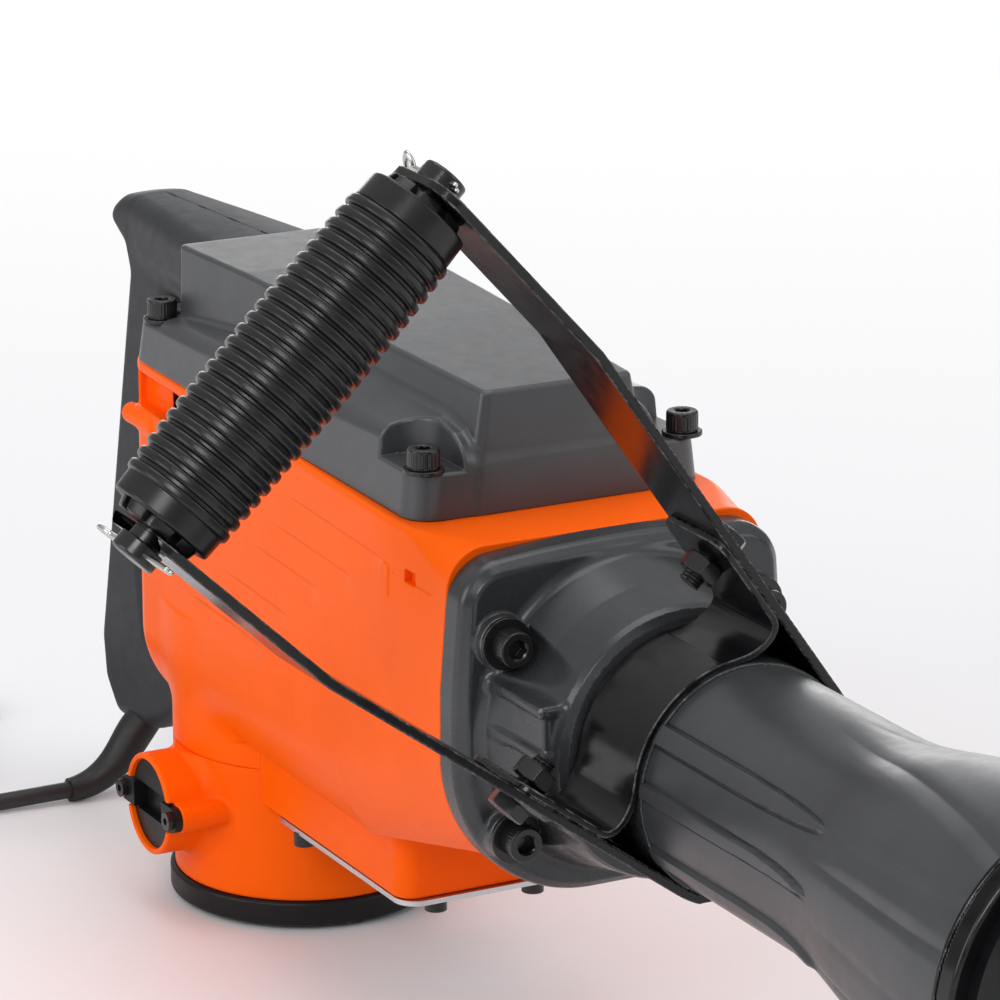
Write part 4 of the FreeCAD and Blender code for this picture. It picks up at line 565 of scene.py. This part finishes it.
def cover(x, y, z):
    """The grey cover: a drafted lower part, a ridged shoulder, a flat roof and seats for four screws."""
    ay = np.abs(y)
    half = 52.5 + 7 * (x - COVER_REAR) / (COVER_FRONT - COVER_REAR)
    steep, slight = math.tan(math.radians(6)), math.tan(math.radians(3))
    level = z - CASE_TOP
    wall = (ay - half + steep * level) * 0.9945
    front = (x - COVER_FRONT + slight * level) * 0.9986
    lower = rounded(rounded(wall, front, 12), (COVER_REAR - x + steep * level) * 0.9945, 12)
    ridge = np.interp(x, [-27, 79, 172, 213], [235, 239.8, 243.3, 245])
    valley = np.interp(x, [-24, 60, 137, 192, 205, 214], [236, 245, 250, 248, 244.5, 238])
    edge = np.interp(x, [-24, 30, 120, 211], [264, 264, 262.2, 259.8])
    foot_half = 41 - 7.5 * (x - ROOF_REAR) / 235
    ridge_half = half - 4.2
    slope = (ridge - valley) / (ridge_half - foot_half)
    shelf = valley + slope * np.maximum(ay - foot_half, -1)
    lower = rounded(lower, (z - shelf) / np.sqrt(1 + slope ** 2), 4.5)
    roof_half = foot_half - (1 + 2.5 * (x - ROOF_REAR) / 235) * (z - valley) / (edge - valley)
    roof = rounded(rounded((ay - roof_half) * 0.98, x - 214 + 0.08 * (z - 230), 3.5), ROOF_REAR - x, 2.5)
    roof = rounded(roof, z - edge, 1.6)
    shape = merged(lower, roof, 2.2)
    reach_x, reach_y = np.maximum(197 - x, 0), np.maximum(53 - ay, 0)
    pocket = np.maximum(np.hypot(reach_x, reach_y) - 14, SCREW_SEAT - z)
    shape = carved(shape, pocket, 1.3)
    along, across = x - REAR_SCREW[0], ay - REAR_SCREW[1]
    nook = np.minimum(np.hypot(along, across) - 8.2, np.maximum(np.abs(along) - 8.2, -across))
    shape = carved(shape, np.maximum(nook, SCREW_SEAT - z), 1.0)
    return rounded(shape, CASE_TOP + 0.05 - z, 0.6)


cast("gear_cover_casting", cover, (-46, -61, 215), (216, 61, 265), 0.75, CAST, "housing", ["top_cover"],
     share=0.7, slot="grey_cast")

# ---------------------------------------------------------------- cylinder case

DOME = [(240, 58), (248, 58), (261, 57.5), (269, 55.5), (281, 52.5), (299, 49.7), (301.5, 48.6), (303.2, 46),
        (303.7, 41.5), (NECK_END, 41.5), (NECK_END, 0)]
PLATE_FRONT = 261
DOME_FRONT = 299.5
FLANGE_BOLTS = [(50.4, 186.3), (46.8, 114.9)]


def cylinder(x, y, z):
    """The flanged plate on the case's front, its dome with ribbed cheeks, and the neck."""
    ay = np.abs(y)
    radius = np.hypot(y, z - AXIS)
    side = ay - 66 + LEAN * np.maximum(z - LEAN_FROM, 0)
    crown = z - CASE_TOP + 0.0011 * ay ** 2
    rim = rounded(rounded(side, crown, 14), FRONT_FLOOR - z, 55)
    edge = (rim + (x - PLATE_FRONT + 4)) * 0.7071
    plate = rounded(rounded(rim, edge, 1.2), x - PLATE_FRONT, 0.8)
    dome = turned(x, radius, DOME)
    cheek = rounded(rounded(ay - 53, between(z, 131.5, 172.5), 1.5), x - DOME_FRONT, 2.5)
    for height in (139, 155, 171):
        rib = rounded(rounded(ay - 55, np.abs(z - height) - 1.9, 1.4), x - DOME_FRONT, 1.5)
        cheek = merged(cheek, rib, 1.4)
    dome = merged(dome, np.maximum(cheek, 38 - ay), 2.5)
    shape = merged(plate, np.maximum(dome, FRONT_FLOOR - z), 3.5)
    for across, height in FLANGE_BOLTS:
        away = np.hypot(ay - across, z - height)
        pad = np.maximum(rounded(away - 9.2, x - 265.5, 0.6), 250 - x)
        shape = merged(shape, pad, 1.5)
        shape = carved(shape, np.maximum(away - 10.6, 265.6 - x), 0.8)
    shape = np.maximum(shape, CASE_FRONT + 0.05 - x)
    shape = rounded(shape, x - NECK_END, 0.3)
    return carved(shape, radius - LINER - 2 * step_up(x, 303, 303.5), 0.3)


cast("cylinder_case_casting", cylinder, (246, -67, 86), (346, 67, 217), 0.62, CAST_GLOSS, "housing",
     ["cylinder_case"], share=0.7, slot="grey_cast")

# ---------------------------------------------------------------- motor housing


def motor(x, y, z):
    """The motor's upright drum with a boss for the brush cap on each side."""
    ay = np.abs(y)
    wall = np.hypot(x, y) - MOTOR_RADIUS
    height = z - BRUSH_HEIGHT
    shape = rounded(rounded(wall, z - CASE_FLOOR, 0.3), 12 - z, 0.8)
    boss = rounded(np.hypot(x, height) - 20.4, ay - 68.7, 1.2)
    boss = np.maximum(boss, -ay + 20)
    shape = merged(shape, boss, 5)
    shape = np.maximum(shape, np.maximum(z - CASE_FLOOR, 12 - z))
    for side in (-1, 1):
        lug = rounded(np.hypot(x - side * 22, height) - 5.5, ay - 65.5, 0.8)
        shape = merged(shape, np.maximum(lug, 40 - ay), 1.5)
    shape = carved(shape, np.maximum(np.hypot(x, height) - 18, 58 - ay), 0.8)
    notch = box(x, ay, z, (-40, 65.4, BRUSH_HEIGHT - 6), (40, 80, BRUSH_HEIGHT + 6), 1.5)
    shape = carved(shape, notch, 0.6)
    return carved(shape, wall + 4, 0.3)


cast("motor_housing_casting", motor, (-53, -70, 11), (53, 70, 67), 0.7, ORANGE, "housing", ["motor_housing"],
     share=0.3, slot="orange_cast")

# ---------------------------------------------------------------- D-handle

HANDLE = eased([(-133, 238), (-147, 246), (-147, 253), (-139, 258), (-128, 260), (-60, 262), (-24.5, 263),
                (-24.5, 237), (-45.5, 237), (-45.5, 216), (-57, 216), (-57, 70), (-64, 58), (-117, 31.5),
                (-150, 28), (-163, 42), (-166, 62), (-129, 228)], 14)
HAND_HOLE = eased([(-121.1, 100), (-98.9, 200), (-90, 226), (-78, 226), (-70, 210), (-70, 96), (-82, 76),
                   (-114.8, 74)], 40)
HANDLE_SCREWS = [(-150, 50), (-118, 243), (-62, 100), (-62, 180), (-62, 248)]


def handle_shell(side):
    """One half of the D-handle, on the side of the given sign."""
    def field(x, y, z):
        ay = y * side
        level = z + 0.005 * ay ** 2 * step_up(z, 225, 250)
        half = 17 + 11 * np.clip((x + 124) / 99.5, 0, 1) * step_up(z, 229, 241)
        shape = rounded(HANDLE(x, level), ay - half, 8)
        shape = carved(shape, HAND_HOLE(x, z), 6)
        if side > 0:
            for across, height in HANDLE_SCREWS:
                well = np.hypot(x - across, z - height) - 5.4
                shape = carved(shape, np.maximum(well, 13 - ay), 0.5)
            shape = carved(shape, np.maximum(np.hypot(x + 118, z - 201) - 5.3, 9 - ay), 0.5)
        return np.maximum(shape, -0.08 - ay)
    return field


for name, side in (("left", -1), ("right", 1)):
    low, high = sorted((side * 29, 0))
    cast(f"handle_{name}_half", handle_shell(side), (-167, low, 27), (-24, high, 264), 0.85, GREY_PLASTIC,
         "housing", [f"handle_{name}_shell"], share=0.6, slot="grey_plastic")

# ---------------------------------------------------------------- barrel

BARREL = [(NECK_END, 40.5), (420, 40.5), (432, 41.2), (442, 42.4), (453, 44.6), (470, 48.2), (500, 53),
          (520, 56), (532, 57.5), (BARREL_END, 58)]
RIBS = [(33, 5), (5, 3.4), (-29, 4.5), (147, 5), (175, 3.4), (209, 4.5)]    # angle of the middle, half width
SIDE_CREASES = (35, 20, -4, -25, 145, 160, 184, 205)
BARREL_BORE = 33.2


def smooth_profile(places, along):
    """The radius along a turned shape, its corners eased."""
    rows = np.array(places, float)
    spread = np.linspace(-9, 9, 7)
    weight = np.cos(spread / 9 * 1.4)
    total = sum(np.interp(along + offset, rows[:, 0], rows[:, 1]) * share
                for offset, share in zip(spread, weight))
    return total / weight.sum()


def flute(angle, middle, half_width, soft):
    """1 inside a band of angles, in degrees, and 0 outside it."""
    gap = np.abs((angle - middle + 180) % 360 - 180)
    return 1 - step_up(gap, half_width - soft, half_width + soft)


def barrel_radius(along, angle):
    """The barrel's radius: flat ribs at its rear and soft creases at its front."""
    radius = smooth_profile(BARREL, along)
    ribs = 0
    for middle, half in RIBS:
        width = half * np.clip(1 - ((along - NECK_END) / 112) ** 5, 0, 1)
        fade = 1 - step_up(along, 446, 457)
        edges = flute(angle, middle - width - 0.9, 0.5, 0.5) + flute(angle, middle + width + 0.9, 0.5, 0.5)
        ribs = ribs + (1.8 * flute(angle, middle, width, 0.5) - 0.6 * edges) * fade
    valley = np.interp(along, [400, 454, 508, BARREL_END], [84, 74, 62, 53])
    creases = 2.3 * (flute(angle, valley, 0.6, 7) + flute(angle, 180 - valley, 0.6, 7))
    creases = creases * step_up(along, 400, 475)
    for middle in SIDE_CREASES:
        creases = creases + 1.3 * flute(angle, middle, 0.6, 4.5) * step_up(along, 440, 490)
    return radius + ribs - creases


def ring_skin(name, rings, closed):
    """A smooth skin over rings of points, which a closed one joins from the last back to the first."""
    number = np.arange(rings.shape[0] * rings.shape[1]).reshape(rings.shape[:2])
    ahead = np.roll(number, -1, axis=0)
    if not closed:
        number, ahead = number[:-1], ahead[:-1]
    faces = np.stack([number, np.roll(number, -1, axis=1), np.roll(ahead, -1, axis=1), ahead], -1)
    thing = new_piece(name, rings.reshape(-1, 3), faces.reshape(-1, 4))
    thing.data.polygons.foreach_set("use_smooth", [True] * len(thing.data.polygons))
    thing.data.set_sharp_from_angle(angle=math.radians(40))
    return thing


def barrel():
    """The barrel's rings, and at both ends one ring in to its bore."""
    along = np.linspace(NECK_END, BARREL_END, 205)
    angle = np.linspace(0, 360, 720, endpoint=False)
    radius = barrel_radius(*np.meshgrid(along, angle, indexing="ij"))
    radius = np.pad(radius, ((1, 1), (0, 0)), constant_values=BARREL_BORE)
    turn = np.radians(angle)
    along = np.pad(along, 1, mode="edge")[:, None] + 0 * turn
    rings = np.stack([along, -radius * np.cos(turn), AXIS + radius * np.sin(turn)], -1)
    return ring_skin("barrel_casting", rings, closed=False)


place(barrel(), CAST, "housing", ["barrel"], "grey_cast")


def nose(x, y, z):
    """The grooved ring round the barrel's end."""
    radius = np.hypot(y, z - AXIS)
    shape = rounded(rounded(radius - 59.5, x - 560, 1.5), BARREL_END + 0.2 - x, 1.2)
    shape = carved(shape, rounded(np.abs(x - 552) - 0.5, 58.6 - radius, 0.1), 0.3)
    return carved(shape, radius - 50, 0.4)


cast("nose_ring_band", nose, (548, -61, 92), (561, 61, 213), 0.6, BLACK_PAINT, "housing", ["nose_ring"],
     share=0.6, slot="black_metal")

# ---------------------------------------------------------------- side handle

ANGLE = math.radians(134.8)         # the way the side handle points, round the tool from +y up
REACH_Y, REACH_Z = math.cos(ANGLE), math.sin(ANGLE)
STRAP_X = 324
HALF_WIDE = 20                      # half the strap's width
THICK = 3.5
NECK = 41.55                        # inner radius of the strap's round part
FLARE, TOE = math.radians(9.3), math.radians(2)     # lean of its legs up to the bend and after it
BEND, REACH = 150, 234              # distances of the bend and of the strap's ends from the tool's axis
SADDLE_RADIUS = 42.8                # middle of the saddle's sheet
GRIP, GRIP_HALF = 225, 65           # distance of the grip from the tool's axis, and half its length
PITCH = 4.955                       # of the grip's ribs
SLEEVE_BORE = 14.4
HUB_AT, PIN_AT = 64.8, 76.2         # places across the handle


def handle_place(x, y, z):
    """Along the tool from the strap's middle, out from the axis, and across the handle."""
    return x - STRAP_X, y * REACH_Y + (z - AXIS) * REACH_Z, -y * REACH_Z + (z - AXIS) * REACH_Y


def handle_row(a, u, w):
    """The frame's place of a point given in the handle's own directions."""
    return (STRAP_X + a, u * REACH_Y - w * REACH_Z, AXIS + u * REACH_Z + w * REACH_Y)


def leg_middle(reach):
    """How far a leg's middle stands from the handle's centre line, up to its bend."""
    return (NECK + THICK / 2 + reach * math.sin(FLARE)) / math.cos(FLARE)


def strap_line(u, w):
    """Distance from the middle of the bent strap, in its own plane."""
    middle = NECK + THICK / 2
    aw = np.abs(w)
    further = leg_middle(BEND) + 100 * math.tan(TOE)
    legs = [(-middle * math.sin(FLARE), middle * math.cos(FLARE)), (BEND, leg_middle(BEND)),
            (BEND + 100, further)]
    out = np.where(u * math.cos(FLARE) + aw * math.sin(FLARE) <= 0, np.abs(np.hypot(u, aw) - middle), FAR)
    for start, end in zip(legs, legs[1:]):
        out = np.minimum(out, to_segment(u, aw, start, end))
    return out


def strap(x, y, z):
    """The flat bar bent round the neck, its ends rounded."""
    a, u, w = handle_place(x, y, z)
    plan = rounded(np.abs(a) - HALF_WIDE, u - REACH, 10)
    return rounded(plan, strap_line(u, w) - THICK / 2, 0.6)


cast("handle_strap_bar", strap, (303, -212, 112), (345, 66, 374), 0.7, BLACK_PAINT, "side_handle",
     ["handle_strap"], share=0.6, slot="black_metal")


def saddle(x, y, z):
    """The thin clamp over the neck, folded out along the strap's legs."""
    a, u, w = handle_place(x, y, z)
    aw = np.abs(w)
    ear_half = leg_middle(0) - (THICK / 2 + 1.27) / math.cos(FLARE)
    fold = [(36.2, 22.8), (32.6, 27.7), (29.6, 32.5), (28.2, 37.5), (28.2, 41.5), (29.4, 44.6), (32, 46.1),
            (35, ear_half + 35 * math.tan(FLARE)), (70, ear_half + 70 * math.tan(FLARE))]
    for _ in range(2):
        eased_fold = [(u0 + (u1 - u0) * t, w0 + (w1 - w0) * t)
                      for (u0, w0), (u1, w1) in zip(fold, fold[1:]) for t in (0.25, 0.75)]
        fold = [fold[0], *eased_fold, fold[-1]]
    radius = np.hypot(u, w)
    on_top = (aw < fold[0][1] / SADDLE_RADIUS * radius) & (u > 0)
    sheet = np.where(on_top, np.abs(radius - SADDLE_RADIUS), FAR)
    for start, end in zip(fold, fold[1:]):
        sheet = np.minimum(sheet, to_segment(u, aw, start, end))
    plan = rounded(np.abs(a) - HALF_WIDE, u - 68, 7)
    return rounded(plan, sheet - 1.25, 0.6)


cast("clamp_saddle_band", saddle, (303, -90, 132), (345, 22, 243), 0.55, BLACK_PAINT, "side_handle",
     ["clamp_saddle"], share=0.6, slot="black_metal")


def grip_radius(w):
    """The sleeve's radius along its length: a barrelled body, its ribs and its two collars."""
    crown = 1.4 * (1 - (w / GRIP_HALF) ** 2)
    away = np.abs(w - np.clip(np.round((w - 1) / PITCH), -11, 11) * PITCH - 1)
    rib = 1.55 * np.sqrt(np.clip(1 - (away / 1.9) ** 3.6, 0, 1))
    collar = 0.4 * step_up(np.abs(w), 55.4, 56)
    edge = np.clip(np.abs(w) - GRIP_HALF + 1, 0, 1)
    return 18 + crown + np.maximum(rib, collar) - 1 + np.sqrt(1 - edge ** 2)


def sleeve():
    """The grip's sleeve, turned round the rod: outside, open ends and bore in one closed skin."""
    along = np.linspace(-GRIP_HALF, GRIP_HALF, 521)
    radius = np.pad(grip_radius(along), 2, constant_values=SLEEVE_BORE)[:, None]
    along = np.concatenate([(-62, -GRIP_HALF), along, (GRIP_HALF, 62)])[:, None]
    turn = np.linspace(0, 2 * math.pi, 128, endpoint=False)
    rings = handle_row(radius * np.cos(turn), GRIP + radius * np.sin(turn), along)
    return ring_skin("side_grip_sleeve", np.stack(rings, -1), closed=True)


place(sleeve(), GRIP_PLASTIC, "grip", ["side_grip"], "black_plastic")


def grip_hub(x, y, z):
    """The slotted end of the sleeve round the rod."""
    a, u, w = handle_place(x, y, z)
    radius = np.hypot(a, u - GRIP)
    aw = np.abs(w)
    hub = rounded(rounded(radius - 14.9 + 0.3 * np.maximum(aw - GRIP_HALF, 0), aw - 68.6, 0.8), 61 - aw, 0.3)
    angle = np.arctan2(a, u - GRIP)
    slots = np.maximum(np.abs(np.sin(angle * 4)) * radius / 4 - 1.6, np.maximum(10.5 - radius, 62.5 - aw))
    return carved(carved(hub, slots, 0.4), radius - 6.1, 0.3)


for name, side in (("upper", -1), ("lower", 1)):
    middle = np.array(handle_row(0, GRIP, side * HUB_AT))
    cast(f"grip_hub_{name}", grip_hub, middle - (16, 15, 15), middle + (16, 15, 15), 0.4, GRIP_PLASTIC,
         "grip", [], share=0.8, slot="black_plastic")


def rod_ends(x, y, z):
    """The bar through the grip with its turned heads outside the strap."""
    a, u, w = handle_place(x, y, z)
    radius = np.hypot(a, u - GRIP)
    aw = np.abs(w)
    head = rounded(rounded(radius - 8, aw - 79.4, 1.3), 73.2 - aw, 0.4)
    return np.minimum(rounded(radius - 6, aw - 74, 0.3), head)


cast("grip_rod_bar", rod_ends, (313, -226, 240), (335, -92, 390), 0.5, BLACK_STEEL, "side_handle", ["grip_rod"],
     share=0.8, slot="dark_steel")

WIRE = 0.95                         # radius of the split pins' wire


def split_pin(side, tail, lean):
    """A bent wire through the end of the rod, its loop to the rear."""
    def field(x, y, z):
        a, u, w = handle_place(x, y, z)
        u, w = u - GRIP, (w - side * PIN_AT) * side
        long, across = u * math.cos(lean) + w * math.sin(lean), -u * math.sin(lean) + w * math.cos(lean)
        if lean:
            ring = np.hypot((np.hypot(long / 1.7, a + 21.4) - 2.9) * 1.1, across)
            loop_end = -19.4
        else:
            ring = np.hypot((np.hypot((a + 22.6) / 1.5, u) - 3.0) * 1.15, w)
            loop_end = -18.4
        beyond = np.maximum(between(a, loop_end, tail), 0)
        legs = np.hypot(np.hypot(np.abs(long) - WIRE, across), beyond)
        return np.minimum(ring, legs) - WIRE
    return field


for name, side, tail, lean in (("upper", -1, 10, 0.55), ("lower", 1, 24, 0)):
    middle = np.array(handle_row(0, GRIP, side * PIN_AT))
    cast(f"split_pin_{name}", split_pin(side, tail, lean), middle - (29, 9, 9), middle + (26, 9, 9), 0.33, ZINC,
         "side_handle", ["split_pins"] if side < 0 else [], share=0.8, slot="zinc_steel")

# ---------------------------------------------------------------- fasteners


def several(name, field, low, high, step, places, material, body, node_names, slot):
    """One small shape, worked out once in its own frame and set at several places."""
    spots, faces = net(field, low, high, step)
    spots, normals = settle(field, spots, step, 2)
    edge = sharpness(field, spots, normals, 0.3)
    all_spots, all_normals, all_faces = [], [], []
    for number, (origin, matrix) in enumerate(places):
        turn = np.array(matrix, float)
        all_spots.append(spots @ turn.T + np.array(origin, float))
        all_normals.append(normals @ turn.T)
        all_faces.append(faces + number * len(spots))
    thing = new_piece(name, np.concatenate(all_spots), np.concatenate(all_faces))
    finish_mesh(thing.data, np.concatenate(all_normals), np.tile(edge, len(places)))
    place(thing, material, body, node_names, slot)


def turn_to(way, roll=0.0):
    """The turn that takes +Z to a direction."""
    spin = Matrix.Rotation(math.radians(roll), 3, "Z")
    return Vector(way).normalized().to_track_quat("Z", "Y").to_matrix() @ spin


def hexed(x, y, across):
    """Distance from a hexagon with flats on +Y and -Y."""
    ax, ay = np.abs(x), np.abs(y)
    return np.maximum(ay, ax * 0.8660254 + ay * 0.5) - across / 2


def socket_head(radius, height, key, ridges):
    """A cap screw's ridged head with the hexagon for its key."""
    def field(x, y, z):
        r = np.hypot(x, y)
        angle = np.arctan2(y, x)
        ridge = 0.16 * (np.abs((angle * ridges / (2 * math.pi)) % 1 - 0.5) * 2 - 0.5)
        ridge = np.where((z > 0.9) & (z < height - 1.2), ridge, 0)
        head = rounded(rounded(r - radius + 0.12 + ridge, z - height, 0.7), -z, 0.3)
        hollow = np.maximum(hexed(x, y, key), height * 0.45 - z)
        hollow = np.minimum(hollow, np.maximum(r - key * 0.62 + height - z, height - 1.5 - z))
        return carved(head, hollow, 0.15)
    return field


M8_SPOTS = [((267.5, side * y, z), turn_to((1, 0, 0), 17 * side + z)) for y, z in FLANGE_BOLTS
            for side in (-1, 1)]
several("flange_bolt_heads", socket_head(6.5, 8, 6.2, 34), (-7, -7, -0.5), (7, 7, 8.5), 0.3, M8_SPOTS,
        BLACK_STEEL, "housing", ["flange_bolts"], slot="dark_steel")


def washer(x, y, z):
    """A washer for the flange's bolts."""
    r = np.hypot(x, y)
    return rounded(rounded(r - 9.4, z - 2, 0.3), np.maximum(3.5 - r, -z), 0.3)


several("flange_washer_discs", washer, (-10, -10, -0.5), (10, 10, 2.5), 0.4,
        [((origin[0] - 2, *origin[1:]), turn) for origin, turn in M8_SPOTS], BLACK_STEEL, "housing",
        ["flange_washers"], slot="dark_steel")


def small_washer(x, y, z):
    """A washer for the cover's screws."""
    return washer(x * 1.28, y * 1.28, z * 1.25) / 1.25


M6_SPOTS = [((x, side * y, SCREW_SEAT + 1.6), turn_to((0, 0, 1), 11 * side))
            for x, y in (FRONT_SCREW, REAR_SCREW) for side in (-1, 1)]
several("cover_screw_heads", socket_head(5.9, 7.4, 5, 30), (-7, -7, -0.5), (7, 7, 8), 0.27, M6_SPOTS,
        BLACK_STEEL, "housing", ["top_cover_screws"], slot="dark_steel")
several("cover_washer_discs", small_washer, (-8, -8, -0.5), (8, 8, 2), 0.4,
        [((*origin[:2], SCREW_SEAT), turn) for origin, turn in M6_SPOTS], BLACK_STEEL, "housing", [],
        slot="dark_steel")


def hex_part(across, height, hole=0.0):
    """A hexagon bolt's head, or a nut where it has a hole."""
    def field(x, y, z):
        r = np.hypot(x, y)
        shape = rounded(hexed(x, y, across), np.maximum(z - height, -z), 0.2)
        cone = (r - across * 0.5 + 0.1 + (np.abs(z - height / 2) - height / 2) * 1.7) * 0.5
        shape = rounded(shape, cone, 0.2)
        if hole:
            shape = carved(shape, r - hole, 0.3)
        return shape
    return field


def threaded(radius, low, high, pitch):
    """A screw thread's end."""
    def field(x, y, z):
        r = np.hypot(x, y)
        angle = np.arctan2(y, x) / (2 * math.pi)
        wave = np.abs(((z / pitch - angle) % 1) - 0.5) * 2
        shape = (r - radius + 0.55 * wave) * 0.8
        return rounded(rounded(shape, z - high, 0.8), low - z, 0.3)
    return field


AXES = np.array([(1, 0, 0), (0, REACH_Y, REACH_Z), (0, -REACH_Z, REACH_Y)]).T
CLAMP_REACH = 55
CLAMP = leg_middle(CLAMP_REACH)
STACK = THICK / 2 / math.cos(FLARE)
heads, nuts, ends = [], [], []
for side in (1, -1):
    way = AXES @ np.array((0, 0, side))
    heads.append((handle_row(0, CLAMP_REACH, side * (CLAMP + STACK + 0.9)), turn_to(way, 20)))
    nuts.append((handle_row(0, CLAMP_REACH, side * (CLAMP - STACK - 3.3)), turn_to(-way, 35 * side)))
    ends.append((handle_row(0, CLAMP_REACH, side * (CLAMP - 15)), turn_to(way)))
several("clamp_bolt_heads", hex_part(13, 5.3), (-8, -8, -0.5), (8, 8, 6), 0.35, heads, BLACK_STEEL,
        "side_handle", ["clamp_bolts"], slot="dark_steel")
several("clamp_nut_hexes", hex_part(13, 6.5, 3.9), (-8, -8, -0.5), (8, 8, 7), 0.35, nuts, BLACK_STEEL,
        "side_handle", ["clamp_nuts"], slot="dark_steel")
several("clamp_bolt_threads", threaded(4, 0, 15, 1.25), (-4.5, -4.5, -0.5), (4.5, 4.5, 15.5), 0.25, ends,
        BLACK_STEEL, "side_handle", [], slot="dark_steel")

# ---------------------------------------------------------------- stage and light

FLOOR_HALF = 9000
floor = new_piece("floor", FLOOR_HALF * np.array([(-1, -1, 0), (1, -1, 0), (1, 1, 0), (-1, 1, 0)]),
                  np.arange(4)[None])
floor_look = Nodes("pale_floor")
floor_look.shader.inputs["Roughness"].default_value = 0.6
spot = floor_look.add("TexCoord").outputs["Object"]
far = floor_look.add("VectorMath", operation="LENGTH")
floor_look.link(spot, far.inputs[0])
grey = floor_look.mix(floor_look.ramp(far.outputs["Value"], 0.3, 1.6), (0.82, 0.82, 0.84), (0.9, 0.9, 0.92))
floor_look.link(grey, floor_look.shader.inputs["Base Color"])
glow = floor_look.add("Emission")
glow.inputs["Strength"].default_value = 1.0
blend = floor_look.add("MixShader")
floor_look.link(floor_look.ramp(far.outputs["Value"], 0.45, 1.7), blend.inputs[0])
floor_look.link(floor_look.shader.outputs[0], blend.inputs[1])
floor_look.link(glow.outputs[0], blend.inputs[2])
floor_look.link(blend.outputs[0], floor_look.tree.nodes["Material Output"].inputs["Surface"])
paint(floor, floor_look.material)

world = bpy.data.worlds.new("studio")
bpy.context.scene.world = world
world.use_nodes = True
tree = world.node_tree
backdrop = tree.nodes["Background"]
backdrop.inputs["Color"].default_value = (1, 1, 1, 1)
direction = tree.nodes.new("ShaderNodeTexCoord")
split = tree.nodes.new("ShaderNodeSeparateXYZ")
amount = tree.nodes.new("ShaderNodeMapRange")
for socket, value in zip(amount.inputs[1:5], (0.0, 0.8, 0.25, 0.7)):
    socket.default_value = value
tree.links.new(direction.outputs["Generated"], split.inputs[0])
tree.links.new(split.outputs["Z"], amount.inputs[0])
tree.links.new(amount.outputs[0], backdrop.inputs["Strength"])
bpy.context.scene.view_settings.view_transform = "Standard"

CENTRE = Vector((0.15, 0, 0.15))


def lamp(name, location, size, power):
    """A soft lamp turned to the tool, its place and size in metres."""
    data = bpy.data.lights.new(name, "AREA")
    data.shape = "RECTANGLE"
    data.size, data.size_y = size
    data.energy = power
    thing = bpy.data.objects.new(name, data)
    bpy.context.scene.collection.objects.link(thing)
    thing.location = location
    way = Vector(location) - CENTRE
    thing.rotation_euler = way.to_track_quat("Z", "Y").to_euler()


lamp("overhead", (0.1, 0.1, 1.9), (1.6, 1.2), 11)
lamp("left", (0.1, -1.9, 0.8), (1.0, 1.0), 9.5)
lamp("front", (1.3, -1.1, 1.2), (0.6, 0.6), 8.5)
lamp("back", (-2.2, 1.4, 0.45), (2.4, 0.6), 15)
lamp("right", (1.6, 1.2, 1.0), (1.0, 1.0), 5)

# ---------------------------------------------------------------- cord's material and body

paint(cord, CORD_SKIN)
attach(cord, "housing")
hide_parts("power_cord", "cord_coil")
